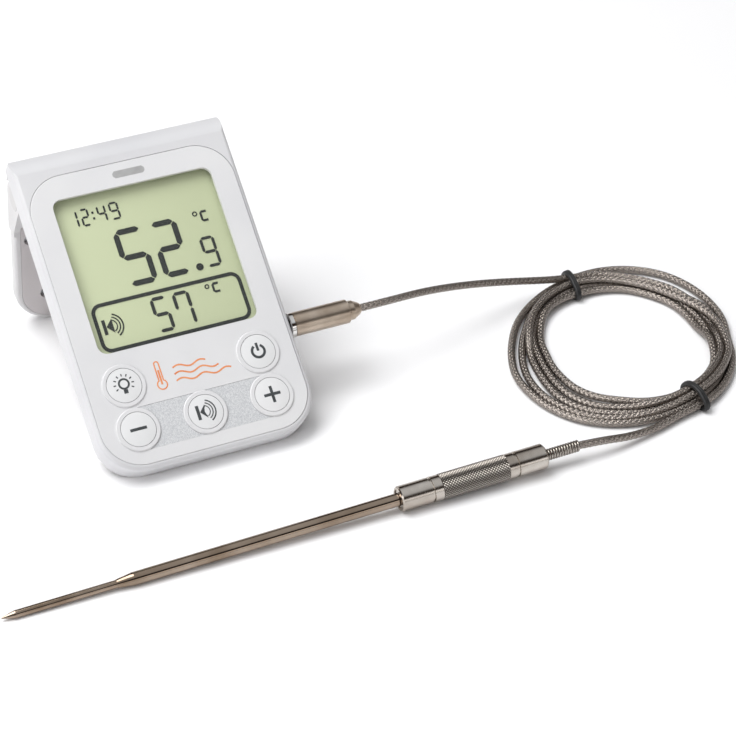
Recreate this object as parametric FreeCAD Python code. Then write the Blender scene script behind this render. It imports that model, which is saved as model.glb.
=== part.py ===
import FreeCAD, Part
import math
import os

# A kitchen roasting thermometer: a display unit that stands on a fold-out rear stand, and a
# stainless needle probe on a braided steel lead that plugs into the unit's right side.
#
# The display unit is drawn lying on its back in its own face frame: X to the right, Y up the
# face, Z out of the face, with Z = 0 on the face and Y = 0 at the lower end. lean() then tips
# it back into its standing pose. The row's frame has +Z up and its origin in the middle of the
# flat foot under the housing. Millimetres throughout.

os.makedirs("parts", exist_ok=True)
Vec = FreeCAD.Vector

# ---- driving dimensions: housing -------------------------------------------------------
WIDTH = 68.0            # across the face
HEIGHT = 104.0          # up the face, to the top ridge
SIDE_DEPTH = 8.6        # depth of the front housing's side walls
WALL = 1.8              # side wall thickness
FACE_TILT = 38.0        # angle of the face to the table, degrees
FOOT_DROP = 6.0         # height of the face's lowest corner above the table
FOOT_CENTRE = 17.0      # from that corner back to the middle of the foot
BOTTOM_CORNER = 13.0    # radius of the two lower corners
TOP_CORNER = 1.2        # radius of the two upper corners
EDGE_ROUND = 1.3        # rounding of the housing's front edge
RIDGE_DROP = 4.4        # how far behind the face the top ridge turns down

PLATE_HALF = 32.7       # the face plate inlaid in the front
PLATE_LOW = 1.6
PLATE_HIGH = 95.2
PLATE_CORNER = 12.0
PLATE_THICK = 1.2
FRONT_WALL_BACK = -2.8  # rear side of the wall that carries the face plate

# ---- display -----------------------------------------------------------------------------
SCREEN_HALF = 25.5
SCREEN_LOW = 37.2
SCREEN_HIGH = 87.6
SCREEN_CORNER = 3.0
PANE_LAP = 1.5          # the pane is this much larger than the opening all round

# ---- buttons -----------------------------------------------------------------------------
BUTTON_RADIUS = 5.3
BUTTON_GAP = 0.15
BUTTON_TRAVEL = 0.8
COLLAR_RADIUS = 6.8
COLLAR_HEIGHT = 0.45
FLANGE_RADIUS = 5.95
FLANGE_BACK = -3.45     # rear side of a key's flange
BUTTONS = {
    "light_button": (-21.4, 26.5),
    "power_button": (21.4, 26.5),
    "minus_button": (-21.3, 12.5),
    "alarm_button": (0.0, 12.5),
    "plus_button": (21.3, 12.5),
}
BAND_HALF_HEIGHT = 6.6
BAND_DEPTH = 0.5

# ---- rear housing and hinge --------------------------------------------------------------
BODY_HALF = 29.2        # raised part of the rear housing
FLANGE_HALF = 32.0
BACK_PLANE = -14.0      # upper back, under the folded stand
BAY_PLANE = -21.6       # back of the battery bay
BAY_HIGH = 38.2
BODY_CORNER = 9.0       # radius of the raised part's lower corners
SCREW_SIDE = 30.6       # housing screws, from the middle
SCREW_YS = (22.0, 76.0)
HINGE_Y = 96.0
HINGE_Z = -14.5
BARREL_RADIUS = 5.5
PIN_RADIUS = 1.6
PIN_PLAY = 0.05

# ---- stand -------------------------------------------------------------------------------
STAND_HALF = 33.0
STAND_LOW = 41.4
STAND_INNER = -14.6
STAND_OUTER = -20.6
STAND_CORNER = 14.0
STAND_OPEN = 61.8       # degrees between folded flat and standing
EAR_INNER = 29.6
STAND_SCREWS = ((27.4, 77.5), (22.6, 53.5))

# ---- batteries ---------------------------------------------------------------------------
CELL_RADIUS = 5.25
CELL_LENGTH = 43.5
CELL_Z = -14.2
CELL_YS = (19.6, 30.7)
BAY_HALF = 25.2

# ---- lead, plug and socket ---------------------------------------------------------------
LEAD_DIAMETER = 2.5
PLUG_Y = 33.3           # socket's place on the right side of the housing
PLUG_Z = -5.0
PLUG_PIN_RADIUS = 1.25
SLEEVE_RADIUS = 3.75

# route of the lead where it isn't coiled, in the row's frame
PLUG_ROUTE = [
    (58.6, 12.32, 22.56),
    (68.4, 12.32, 22.56),
    (82.0, 15.9, 20.0),
    (96.0, 19.3, 16.2),
    (109.0, 22.0, 12.1),
    (121.0, 23.9, 8.2),
    (133.0, 23.6, 4.8),
]
PROBE_ROUTE = [
    (99.6, -57.0, 5.26),
    (107.5, -57.3, 4.9),
    (117.5, -56.6, 2.7),
    (128.0, -54.9, 1.7),
    (135.0, -52.3, 2.2),
]
COIL_CENTRE = (138.3, -13.5)
COIL_OUTER = (43.5, 35.0)
COIL_INNER = (31.0, 24.0)
COIL_TURN = 53.0        # direction of the coil's longer axis, degrees from +X
COIL_LOW = 1.0
COIL_HIGH = 7.0
TIE_ANGLES = (90.0, -78.0)
TIE_WIDTH = 2.6
TIE_THICK = 1.0

# ---- probe -------------------------------------------------------------------------------
PROBE_PLACE = (40.6, -57.0)     # front end of the handle on the table
HANDLE_RADIUS = 3.9
HANDLE_LENGTH = 47.5
KNURL_FROM = 13.1
KNURL_TO = 34.7
SHAFT_RADIUS = 2.0
SHAFT_SEAT_RADIUS = 1.7         # the shaft is turned down where it sits in the handle
TIP_RADIUS = 1.2
NEEDLE_LENGTH = 120.7
THIN_LENGTH = 33.8
FLARE_LENGTH = 5.0
CONE_LENGTH = 4.0
SPRING_LENGTH = 11.5
SPRING_RADIUS = 1.8
EASE = 2.0                      # overshoot of cutting tools


# ---- small helpers -------------------------------------------------------------------------
def rounded_face(half, low, high, low_radius, high_radius):
    """A face in the XY plane with its own radius at the lower and at the upper corners."""
    k = 1.0 - math.sqrt(0.5)
    a, b = low_radius, high_radius
    edges = [
        Part.LineSegment(Vec(-half + a, low, 0), Vec(half - a, low, 0)),
        Part.Arc(Vec(half - a, low, 0), Vec(half - a * k, low + a * k, 0), Vec(half, low + a, 0)),
        Part.LineSegment(Vec(half, low + a, 0), Vec(half, high - b, 0)),
        Part.Arc(Vec(half, high - b, 0), Vec(half - b * k, high - b * k, 0), Vec(half - b, high, 0)),
        Part.LineSegment(Vec(half - b, high, 0), Vec(-half + b, high, 0)),
        Part.Arc(Vec(-half + b, high, 0), Vec(-half + b * k, high - b * k, 0), Vec(-half, high - b, 0)),
        Part.LineSegment(Vec(-half, high - b, 0), Vec(-half, low + a, 0)),
        Part.Arc(Vec(-half, low + a, 0), Vec(-half + a * k, low + a * k, 0), Vec(-half + a, low, 0)),
    ]
    return Part.Face(Part.Wire([edge.toShape() for edge in edges]))


def slab(half, low, high, low_radius, high_radius, back, front):
    """A rounded plate between two depths."""
    face = rounded_face(half, low, high, low_radius, high_radius)
    face.translate(Vec(0, 0, back))
    return face.extrude(Vec(0, 0, front - back))


def box(x0, x1, y0, y1, z0, z1):
    return Part.makeBox(x1 - x0, y1 - y0, z1 - z0, Vec(x0, y0, z0))


def disc(x, y, radius, back, front):
    return Part.makeCylinder(radius, front - back, Vec(x, y, back), Vec(0, 0, 1))


def rod(x0, x1, y, z, radius):
    """A round bar along X."""
    return Part.makeCylinder(radius, x1 - x0, Vec(x0, y, z), Vec(1, 0, 0))


def profile(points, half):
    """A side outline of (y, z) points, extruded to both sides of the middle."""
    corners = [Vec(-half, y, z) for y, z in points]
    return Part.Face(Part.makePolygon(corners + corners[:1])).extrude(Vec(2 * half, 0, 0))


def turned(points):
    """A solid of revolution about X from (x, radius) points."""
    corners = [Vec(x, 0, radius) for x, radius in points]
    corners = [Vec(points[0][0], 0, 0)] + corners + [Vec(points[-1][0], 0, 0)]
    face = Part.Face(Part.makePolygon(corners + corners[:1]))
    return face.revolve(Vec(0, 0, 0), Vec(1, 0, 0), 360)


def fuse(shapes):
    whole = shapes[0].multiFuse(shapes[1:]) if len(shapes) > 1 else shapes[0]
    return whole.removeSplitter()


def edges_at(shape, depth, highest_y=1e9):
    """The edges that lie wholly at one depth and start below one height."""
    found = []
    for edge in shape.Edges:
        bound = edge.BoundBox
        if abs(bound.ZMin - depth) < 1e-4 and abs(bound.ZMax - depth) < 1e-4 and bound.YMin < highest_y:
            found.append(edge)
    return found


def lean(shape):
    """Tips a shape from the face frame into the standing pose and the row's frame."""
    placed = shape.copy()
    placed.rotate(Vec(0, 0, 0), Vec(1, 0, 0), FACE_TILT)
    placed.translate(Vec(0, -FOOT_CENTRE, FOOT_DROP))
    return placed


def swing_open(shape):
    """Turns a folded stand piece about the hinge to its standing place."""
    turned_piece = shape.copy()
    turned_piece.rotate(Vec(0, HINGE_Y, HINGE_Z), Vec(1, 0, 0), STAND_OPEN)
    return lean(turned_piece)


def below_table(lift=0.0):
    """In the face frame, the half space under the table raised by lift."""
    reach = 200.0
    block = box(-reach, reach, -reach, reach, -reach, 0)
    block.translate(Vec(0, 0, lift - FOOT_DROP))
    block.rotate(Vec(0, 0, 0), Vec(1, 0, 0), -FACE_TILT)
    return block


# ---- front housing -------------------------------------------------------------------------
SCREW_PLACES = [(side * SCREW_SIDE, y) for side in (-1, 1) for y in SCREW_YS]


def top_band_cut():
    """What the curved band between the face and the top ridge leaves off a flat slab."""
    over = HEIGHT + EASE
    band = Part.Arc(Vec(0, PLATE_HIGH + 0.2, 0), Vec(0, 100.4, -0.75), Vec(0, 103.0, -2.5))
    nose = Part.Arc(Vec(0, 103.0, -2.5), Vec(0, 103.75, -3.4), Vec(0, HEIGHT, -RIDGE_DROP))
    outside = Part.makePolygon([
        Vec(0, HEIGHT, -RIDGE_DROP), Vec(0, over, -RIDGE_DROP), Vec(0, over, EASE),
        Vec(0, PLATE_HIGH + 0.2, EASE), Vec(0, PLATE_HIGH + 0.2, 0)])
    wire = Part.Wire([band.toShape(), nose.toShape()] + outside.Edges)
    face = Part.Face(wire)
    face.translate(Vec(-WIDTH, 0, 0))
    return face.extrude(Vec(2 * WIDTH, 0, 0))


def front_housing():
    shell = slab(WIDTH / 2, 0, HEIGHT, BOTTOM_CORNER, TOP_CORNER, -SIDE_DEPTH, 0)
    shell = shell.makeFillet(EDGE_ROUND, edges_at(shell, 0, HEIGHT - 1))
    shell = shell.cut(top_band_cut())
    hollow = slab(WIDTH / 2 - WALL, WALL, 99.0, BOTTOM_CORNER - WALL, 1.0,
                  -SIDE_DEPTH - EASE, FRONT_WALL_BACK)
    seat = slab(PLATE_HALF + 0.1, PLATE_LOW - 0.1, PLATE_HIGH + 0.1, PLATE_CORNER + 0.1,
                PLATE_CORNER + 0.1, -PLATE_THICK, EASE)
    lap = PANE_LAP + 0.2
    opening = slab(SCREEN_HALF + lap, SCREEN_LOW - lap, SCREEN_HIGH + lap, 2.0, 2.0,
                   FRONT_WALL_BACK - EASE, EASE)
    posts = [disc(x, y, 1.6, -SIDE_DEPTH + 1.25, FRONT_WALL_BACK) for x, y in SCREW_PLACES]
    shell = fuse([shell.cut(hollow)] + posts).cut(seat).cut(opening)
    for x, y in BUTTONS.values():
        shell = shell.cut(disc(x, y, BUTTON_RADIUS + 0.45, FRONT_WALL_BACK - EASE, EASE))
    for x, y in SCREW_PLACES:
        shell = shell.cut(disc(x, y, 0.7, -SIDE_DEPTH, FRONT_WALL_BACK - 0.6))
    shell = shell.cut(rod(WIDTH / 2 - WALL - 1, WIDTH / 2 + 1, PLUG_Y, PLUG_Z, 2.0))
    return shell.cut(below_table())


# ---- face plate and its silver band ----------------------------------------------------------
def band_outline(grow, back, front):
    middle = BUTTONS["alarm_button"][1]
    reach = BUTTONS["plus_button"][0]
    band = box(-reach, reach, middle - BAND_HALF_HEIGHT - grow, middle + BAND_HALF_HEIGHT + grow,
               back, front)
    for name in ("minus_button", "alarm_button", "plus_button"):
        x, y = BUTTONS[name]
        band = band.cut(disc(x, y, COLLAR_RADIUS + 0.1 - grow, back - 1, front + 1))
    return band


def face_plate():
    plate = slab(PLATE_HALF, PLATE_LOW, PLATE_HIGH, PLATE_CORNER, PLATE_CORNER, -PLATE_THICK, 0)
    plate = plate.makeFillet(0.25, edges_at(plate, 0))
    plate = plate.cut(band_outline(0.05, -BAND_DEPTH, EASE))
    for x, y in BUTTONS.values():
        collar = disc(x, y, COLLAR_RADIUS, -0.3, COLLAR_HEIGHT)
        collar = collar.makeFillet(0.4, edges_at(collar, COLLAR_HEIGHT))
        plate = plate.fuse(collar)
    for x, y in BUTTONS.values():
        plate = plate.cut(disc(x, y, BUTTON_RADIUS + BUTTON_GAP, -PLATE_THICK - 1, EASE))
    opening = slab(SCREEN_HALF, SCREEN_LOW, SCREEN_HIGH, SCREEN_CORNER, SCREEN_CORNER,
                   -PLATE_THICK - 1, EASE)
    return plate.cut(opening).removeSplitter()


def control_band():
    return band_outline(0.0, -BAND_DEPTH, -0.1)


# ---- display stack and electronics -------------------------------------------------------------
def display_window():
    return slab(SCREEN_HALF + PANE_LAP, SCREEN_LOW - PANE_LAP, SCREEN_HIGH + PANE_LAP, 2.0, 2.0,
                -2.5, -1.25)


def lcd_panel():
    return box(-27.0, 27.0, 36.6, 90.8, -4.4, -2.95)


def light_guide():
    return box(-26.6, 26.6, 36.8, 88.6, -5.4, -4.6)


def lcd_frame():
    outer = slab(28.4, 36.0, 92.4, 0.8, 0.8, -5.55, -2.95)
    inner = box(-27.15, 27.15, 36.5, 90.95, -5.7, -2.8)
    return outer.cut(inner)


def lcd_connector_strip():
    return box(-24.0, 24.0, 88.9, 90.5, -5.55, -4.45)


def circuit_board():
    board = slab(28.6, 4.2, 94.0, 9.0, 1.0, -6.7, -5.6)
    return board.cut(box(22.2, 30.0, 30.6, 36.2, -7.0, -5.0))


def keypad_mat():
    mat_top = -4.9
    dome_height = FLANGE_BACK - BUTTON_TRAVEL - 0.2 - mat_top
    mat = slab(27.8, 5.6, 31.0, 8.0, 3.0, -5.55, mat_top)
    domes = []
    for x, y in BUTTONS.values():
        domes.append(Part.makeCone(4.2, 3.2, dome_height, Vec(x, y, mat_top), Vec(0, 0, 1)))
    return fuse([mat] + domes)


def backlight_lamp():
    return box(-1.8, 1.8, 34.4, 35.7, -5.55, -4.5)


def processor():
    return box(-6.0, 6.0, 60.0, 72.0, -8.3, -6.75)


def buzzer():
    case = disc(-17.0, 52.0, 6.0, -9.9, -6.75)
    return case.cut(disc(-17.0, 52.0, 1.0, -10.0, -8.5))


def probe_socket():
    """The jack that takes the plug: a block against the side wall and a thinner barrel."""
    wall = WIDTH / 2 - WALL - 0.05
    block = box(wall - 4.0, wall, PLUG_Y - 2.3, PLUG_Y + 2.3, PLUG_Z - 2.2, PLUG_Z + 2.1)
    barrel = rod(24.6, wall - 3.5, PLUG_Y, PLUG_Z, 1.8)
    bore = rod(20.0, WIDTH, PLUG_Y, PLUG_Z, PLUG_PIN_RADIUS + PIN_PLAY)
    return fuse([block, barrel]).cut(bore)


# ---- rear housing --------------------------------------------------------------------------
def rear_housing():
    flange = slab(FLANGE_HALF, 2.0, 98.8, BOTTOM_CORNER - WALL - 0.2, 0.8, -SIDE_DEPTH, -SIDE_DEPTH + 1.2)
    back = profile([(3.0, -8.0), (3.0, -10.0), (17.9, BAY_PLANE), (BAY_HIGH - 1.2, BAY_PLANE),
                    (BAY_HIGH, BAY_PLANE + 1.2), (BAY_HIGH, BACK_PLANE), (91.0, BACK_PLANE),
                    (91.0, -8.0)], BODY_HALF)
    back = back.common(slab(BODY_HALF, 3.0, 92.0, BODY_CORNER, 0.4, BAY_PLANE - 1, 0))
    head = profile([(90.0, -8.0), (90.0, BACK_PLANE), (HINGE_Y, HINGE_Z), (101.3, HINGE_Z),
                    (102.4, -11.2), (103.5, -SIDE_DEPTH - 0.05), (98.5, -SIDE_DEPTH - 0.05),
                    (98.5, -8.0)], BODY_HALF)
    barrel = rod(-BODY_HALF, BODY_HALF, HINGE_Y, HINGE_Z, BARREL_RADIUS)
    cap_low = HINGE_Y + BARREL_RADIUS + 0.35
    cap = profile([(cap_low, -SIDE_DEPTH - 0.05), (103.5, -SIDE_DEPTH - 0.05), (102.4, -11.2),
                   (cap_low, -13.0)], WIDTH / 2 - 0.6)
    shell = fuse([flange, back, head, barrel, cap]).cut(below_table())
    upper_hollow = box(-27.4, 27.4, 40.0, 89.0, -12.4, -7.0)
    bay = box(-BAY_HALF, BAY_HALF, 13.9, 36.4, BAY_PLANE - 1, -8.8)
    bay = bay.cut(below_table(1.5))
    bay_mouth = box(-BODY_HALF - 1, 26.8, 19.2, 37.0, BAY_PLANE - 1, BAY_PLANE + 1.6)
    shell = shell.cut(upper_hollow).cut(bay).cut(bay_mouth)
    for side in (-1, 1):
        inner, outer = sorted((side * 24.0, side * (BODY_HALF + 1)))
        shell = shell.cut(rod(inner, outer, HINGE_Y, HINGE_Z, PIN_RADIUS + PIN_PLAY))
    for x, y in SCREW_PLACES:
        shell = shell.cut(disc(x, y, 0.75, -SIDE_DEPTH - 1, -7.0))
        shell = shell.cut(disc(x, y, 1.3, -SIDE_DEPTH - 1, -SIDE_DEPTH + 0.65))
    return shell


def housing_screws():
    screws = []
    for x, y in SCREW_PLACES:
        head = disc(x, y, 1.25, -SIDE_DEPTH, -SIDE_DEPTH + 0.65)
        shank = disc(x, y, 0.7, -SIDE_DEPTH + 0.65, -4.2)
        screws.append(fuse([head, shank]))
    return Part.makeCompound(screws)


# ---- battery bay --------------------------------------------------------------------------
def batteries():
    cells = []
    for y, nub in zip(CELL_YS, (1, -1)):
        can = rod(-CELL_LENGTH / 2, CELL_LENGTH / 2, y, CELL_Z, CELL_RADIUS)
        can = can.makeFillet(0.5, [edge for edge in can.Edges if edge.Closed])
        start, end = sorted((nub * (CELL_LENGTH / 2 - 0.2), nub * (CELL_LENGTH / 2 + 0.9)))
        cells.append(fuse([can, rod(start, end, y, CELL_Z, 1.9)]))
    return Part.makeCompound(cells)


def contact_plates():
    plates = []
    for side in (-1, 1):
        inner, outer = sorted((side * (BAY_HALF - 0.1), side * (BAY_HALF - 0.5)))
        plates.append(box(inner, outer, 15.5, 35.6, -17.4, -9.6))
    return Part.makeCompound(plates)


def contact_springs():
    """A conical spring of touching rings against the flat end of each cell."""
    wire = 0.3
    springs = []
    for y, nub in zip(CELL_YS, (1, -1)):
        base = -nub * (BAY_HALF - 0.5 - wire)
        rings = [Part.makeTorus(2.6 - 0.3 * i, wire, Vec(base + nub * 0.45 * i, y, CELL_Z), Vec(1, 0, 0))
                 for i in range(5)]
        springs.append(fuse(rings))
    return Part.makeCompound(springs)


def battery_cover():
    cover = box(-BODY_HALF + 0.1, 26.6, 19.4, 36.8, BAY_PLANE, BAY_PLANE + 1.5)
    ribs = [box(-26.0 + 1.8 * i, -25.2 + 1.8 * i, 23.5, 32.7, BAY_PLANE - 0.4, BAY_PLANE + 0.2)
            for i in range(5)]
    return fuse([cover] + ribs)


# ---- buttons --------------------------------------------------------------------------------
def button(x, y):
    """A crowned round cap on a flange that is held behind the front wall."""
    crown = 0.75
    dome = 0.35
    sphere_radius = (BUTTON_RADIUS ** 2 + dome ** 2) / (2 * dome)
    cap = disc(x, y, BUTTON_RADIUS, -3.0, crown)
    ball = Part.makeSphere(sphere_radius, Vec(x, y, crown - sphere_radius))
    flange = disc(x, y, FLANGE_RADIUS, FLANGE_BACK, FLANGE_BACK + 0.5)
    return fuse([cap.common(ball), flange])


# ---- stand ---------------------------------------------------------------------------------
def stand():
    top = 88.0
    tray = slab(STAND_HALF, STAND_LOW, top, STAND_CORNER, 0.4, STAND_OUTER, STAND_INNER)
    tray = tray.makeFillet(3.2, edges_at(tray, STAND_OUTER, top - 1))
    tray = tray.makeFillet(1.1, edges_at(tray, STAND_INNER, top - 1))
    parts = [tray]
    for side in (-1, 1):
        inner, outer = sorted((side * EAR_INNER, side * STAND_HALF))
        ear = rod(inner, outer, HINGE_Y, HINGE_Z, BARREL_RADIUS)
        arm = profile([(80.0, STAND_OUTER + 0.4), (HINGE_Y, HINGE_Z - BARREL_RADIUS),
                       (HINGE_Y - 2.6, HINGE_Z + 4.8), (82.0, STAND_INNER), (80.0, STAND_INNER)],
                      STAND_HALF)
        parts += [ear, arm.common(box(inner, outer, 70, 110, -40, 0))]
    whole = fuse(parts)
    whole = whole.cut(slab(31.0, 42.6, 86.0, 12.0, 0.4, -18.8, STAND_INNER + 1))
    posts = [disc(side * x, y, 2.6, -18.9, -17.8) for x, y in STAND_SCREWS for side in (-1, 1)]
    whole = fuse([whole] + posts)
    for x, y in STAND_SCREWS:
        for side in (-1, 1):
            whole = whole.cut(disc(side * x, y, 0.8, -18.7, -17.0))
    for side in (-1, 1):
        inner, outer = sorted((side * (EAR_INNER - 1), side * (STAND_HALF + 1)))
        whole = whole.cut(rod(inner, outer, HINGE_Y, HINGE_Z, PIN_RADIUS))
        inner, outer = sorted((side * (STAND_HALF - 0.8), side * (STAND_HALF + 1)))
        whole = whole.cut(rod(inner, outer, HINGE_Y, HINGE_Z, 3.9))
    return whole


def stand_liner():
    plate = slab(30.9, 42.7, 85.9, 11.9, 0.4, -16.1, STAND_INNER)
    cups = [disc(side * x, y, 3.2, -17.8, -16.0) for x, y in STAND_SCREWS for side in (-1, 1)]
    plate = fuse([plate] + cups)
    for x, y in STAND_SCREWS:
        for side in (-1, 1):
            plate = plate.cut(disc(side * x, y, 2.4, -16.9, STAND_INNER + 1))
            plate = plate.cut(disc(side * x, y, 0.85, -18.0, STAND_INNER))
    return plate


def stand_screws():
    screws = []
    for x, y in STAND_SCREWS:
        for side in (-1, 1):
            head = disc(side * x, y, 2.2, -16.9, -16.0)
            slot_long = box(side * x - 1.4, side * x + 1.4, y - 0.25, y + 0.25, -16.4, -15.9)
            slot_wide = box(side * x - 0.25, side * x + 0.25, y - 1.4, y + 1.4, -16.4, -15.9)
            shank = disc(side * x, y, 0.8, -18.6, -16.9)
            screws.append(fuse([head, shank]).cut(slot_long).cut(slot_wide))
    return Part.makeCompound(screws)


def stand_magnets():
    return Part.makeCompound([disc(side * 13.0, 66.0, 6.0, -18.7, -16.2) for side in (-1, 1)])


def hinge_pins():
    pins = []
    for side in (-1, 1):
        inner, outer = sorted((side * 24.5, side * (STAND_HALF - 0.8)))
        pins.append(rod(inner, outer, HINGE_Y, HINGE_Z, PIN_RADIUS))
    return Part.makeCompound(pins)


def hinge_caps():
    caps = []
    for side in (-1, 1):
        inner, outer = sorted((side * (STAND_HALF - 0.75), side * (STAND_HALF + 0.05)))
        caps.append(rod(inner, outer, HINGE_Y, HINGE_Z, 3.8))
    return Part.makeCompound(caps)


# ---- plug ------------------------------------------------------------------------------------
def plug_pieces():
    """The plug along X, through the socket's axis, tip first."""
    tip = turned([(23.2, 0.4), (24.0, 1.1), (25.0, PLUG_PIN_RADIUS), (26.4, 1.0), (26.6, 1.0)])
    ring = turned([(26.6, PLUG_PIN_RADIUS), (27.3, PLUG_PIN_RADIUS)])
    shank = turned([(27.3, PLUG_PIN_RADIUS), (34.6, PLUG_PIN_RADIUS)])
    collar = turned([(34.6, 3.5), (34.9, 3.95), (36.1, 3.95), (36.4, 3.6)])
    sleeve = turned([(36.4, SLEEVE_RADIUS), (54.2, SLEEVE_RADIUS), (54.6, SLEEVE_RADIUS - 0.4)])
    cone = turned([(54.6, 3.1), (56.2, 3.0), (58.2, 1.9), (58.6, 1.6)])
    pieces = {"plug_tip": tip, "plug_insulator": ring, "plug_shank": shank,
              "plug_collar": collar, "plug_sleeve": sleeve, "plug_cone": cone}
    axis = lean(Part.Vertex(Vec(0, PLUG_Y, PLUG_Z))).Point
    for piece in pieces.values():
        piece.translate(axis)
    return pieces


# ---- lead ------------------------------------------------------------------------------------
def lead_tube(name, route):
    """Straight runs joined by tangent arcs, swept with the lead's round section."""
    points = [Vec(*point) for point in route]
    edges = []
    start = points[0]
    for before, corner, after in zip(points, points[1:], points[2:]):
        back = before - corner
        ahead = after - corner
        shorter = min(back.Length, ahead.Length)
        back.normalize()
        ahead.normalize()
        turn = math.pi - back.getAngle(ahead)
        setback = 0.45 * shorter
        radius = setback / math.tan(turn / 2)
        print(name, "turn", round(math.degrees(turn), 1), "radius", round(radius, 1))
        arc_in = corner + back * setback
        arc_out = corner + ahead * setback
        inward = back + ahead
        inward.normalize()
        to_centre = math.hypot(setback, radius)
        middle = corner + inward * (to_centre - radius)
        edges.append(Part.LineSegment(start, arc_in).toShape())
        edges.append(Part.Arc(arc_in, middle, arc_out).toShape())
        start = arc_out
    edges.append(Part.LineSegment(start, points[-1]).toShape())
    path = Part.Wire(edges)
    section = Part.Wire([Part.makeCircle(LEAD_DIAMETER / 2, points[0], points[1] - points[0])])
    tube = path.makePipeShell([section], True, True)
    expected = math.pi * LEAD_DIAMETER ** 2 / 4 * path.Length
    print(name, "length", round(path.Length, 1), "volume ratio", round(tube.Volume / expected, 4))
    return tube


def oval(semi, low, high):
    """An upright oval prism about the coil's centre."""
    ellipse = Part.Ellipse(Vec(0, 0, 0), semi[0], semi[1]).toShape()
    face = Part.Face(Part.Wire([ellipse]))
    prism = face.extrude(Vec(0, 0, high - low))
    prism.rotate(Vec(0, 0, 0), Vec(0, 0, 1), COIL_TURN)
    prism.translate(Vec(COIL_CENTRE[0], COIL_CENTRE[1], low))
    return prism


def lead_coil():
    return oval(COIL_OUTER, COIL_LOW, COIL_HIGH).cut(oval(COIL_INNER, COIL_LOW - 1, COIL_HIGH + 1))


def coil_tie(angle):
    """A band round the coil, square to it at one place."""
    grown = [semi + TIE_THICK for semi in COIL_OUTER]
    shrunk = [semi - TIE_THICK for semi in COIL_INNER]
    sleeve = oval(grown, COIL_LOW - TIE_THICK, COIL_HIGH + TIE_THICK)
    sleeve = sleeve.cut(oval(shrunk, COIL_LOW - EASE, COIL_HIGH + EASE))
    slice_box = box(10.0, 60.0, -TIE_WIDTH / 2, TIE_WIDTH / 2, -1, 10)
    slice_box.rotate(Vec(0, 0, 0), Vec(0, 0, 1), angle)
    slice_box.translate(Vec(COIL_CENTRE[0], COIL_CENTRE[1], 0))
    return sleeve.common(slice_box).cut(lead_coil())


# ---- probe -----------------------------------------------------------------------------------
def lay_probe(shape):
    """Lays a probe piece on the table: handle and needle both touch it."""
    run = NEEDLE_LENGTH - CONE_LENGTH
    slope = math.degrees(math.atan((HANDLE_RADIUS - TIP_RADIUS) / run))
    placed = shape.copy()
    placed.rotate(Vec(0, 0, 0), Vec(0, 1, 0), -slope)
    placed.translate(Vec(PROBE_PLACE[0], PROBE_PLACE[1], HANDLE_RADIUS))
    return placed


def probe_pieces():
    """The probe along X: the handle starts at 0 and the needle points to -X."""
    tip = -NEEDLE_LENGTH
    thin_end = tip + THIN_LENGTH
    flare_end = thin_end + FLARE_LENGTH
    needle = turned([(tip, 0.2), (tip + CONE_LENGTH, TIP_RADIUS), (thin_end + 4.0, TIP_RADIUS)])
    needle = needle.cut(rod(tip + CONE_LENGTH, flare_end, 0, 0, 0.8))
    shaft = turned([(thin_end, TIP_RADIUS + 0.1), (flare_end, SHAFT_RADIUS), (0.0, SHAFT_RADIUS),
                    (0.0, SHAFT_SEAT_RADIUS), (10.0, SHAFT_SEAT_RADIUS)])
    shaft = shaft.cut(rod(thin_end - 1, thin_end + 4.0, 0, 0, TIP_RADIUS))
    shaft = shaft.cut(rod(thin_end, 11.0, 0, 0, 1.0))
    groove = 0.35
    grip = turned([
        (0.0, HANDLE_RADIUS - 0.4), (0.4, HANDLE_RADIUS), (9.6, HANDLE_RADIUS),
        (9.7, HANDLE_RADIUS - groove), (10.3, HANDLE_RADIUS - groove), (10.4, HANDLE_RADIUS),
        (KNURL_FROM, HANDLE_RADIUS), (KNURL_FROM + 0.1, HANDLE_RADIUS - 0.15),
        (KNURL_TO - 0.1, HANDLE_RADIUS - 0.15), (KNURL_TO, HANDLE_RADIUS),
        (37.2, HANDLE_RADIUS), (37.3, HANDLE_RADIUS - groove), (37.9, HANDLE_RADIUS - groove),
        (38.0, HANDLE_RADIUS), (HANDLE_LENGTH - 0.6, HANDLE_RADIUS), (HANDLE_LENGTH, HANDLE_RADIUS - 0.6)])
    grip = grip.cut(rod(-1, HANDLE_LENGTH + 1, 0, 0, 3.0))
    bush = rod(0.3, 10.0, 0, 0, 3.0).cut(rod(-1, 11, 0, 0, SHAFT_SEAT_RADIUS))
    plug = rod(HANDLE_LENGTH - 8.0, HANDLE_LENGTH - 0.2, 0, 0, 3.0)
    plug = plug.cut(rod(HANDLE_LENGTH - 9.0, HANDLE_LENGTH + 1, 0, 0, SPRING_RADIUS))
    spring = rod(HANDLE_LENGTH - 6.0, HANDLE_LENGTH + SPRING_LENGTH, 0, 0, SPRING_RADIUS)
    spring = spring.cut(rod(HANDLE_LENGTH - 7.0, HANDLE_LENGTH + SPRING_LENGTH + 1, 0, 0, 1.3))
    sensor = rod(tip + CONE_LENGTH + 0.5, tip + CONE_LENGTH + 5.5, 0, 0, 0.7)
    wires = rod(tip + CONE_LENGTH + 5.5, HANDLE_LENGTH + SPRING_LENGTH, 0, 0, 0.45)
    pieces = {"needle_tube": needle, "probe_shaft": shaft, "probe_handle": grip,
              "handle_bush": bush, "handle_end_plug": plug, "cable_spring": spring,
              "temperature_sensor": sensor, "sensor_wires": wires}
    return {name: lay_probe(shape) for name, shape in pieces.items()}


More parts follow.
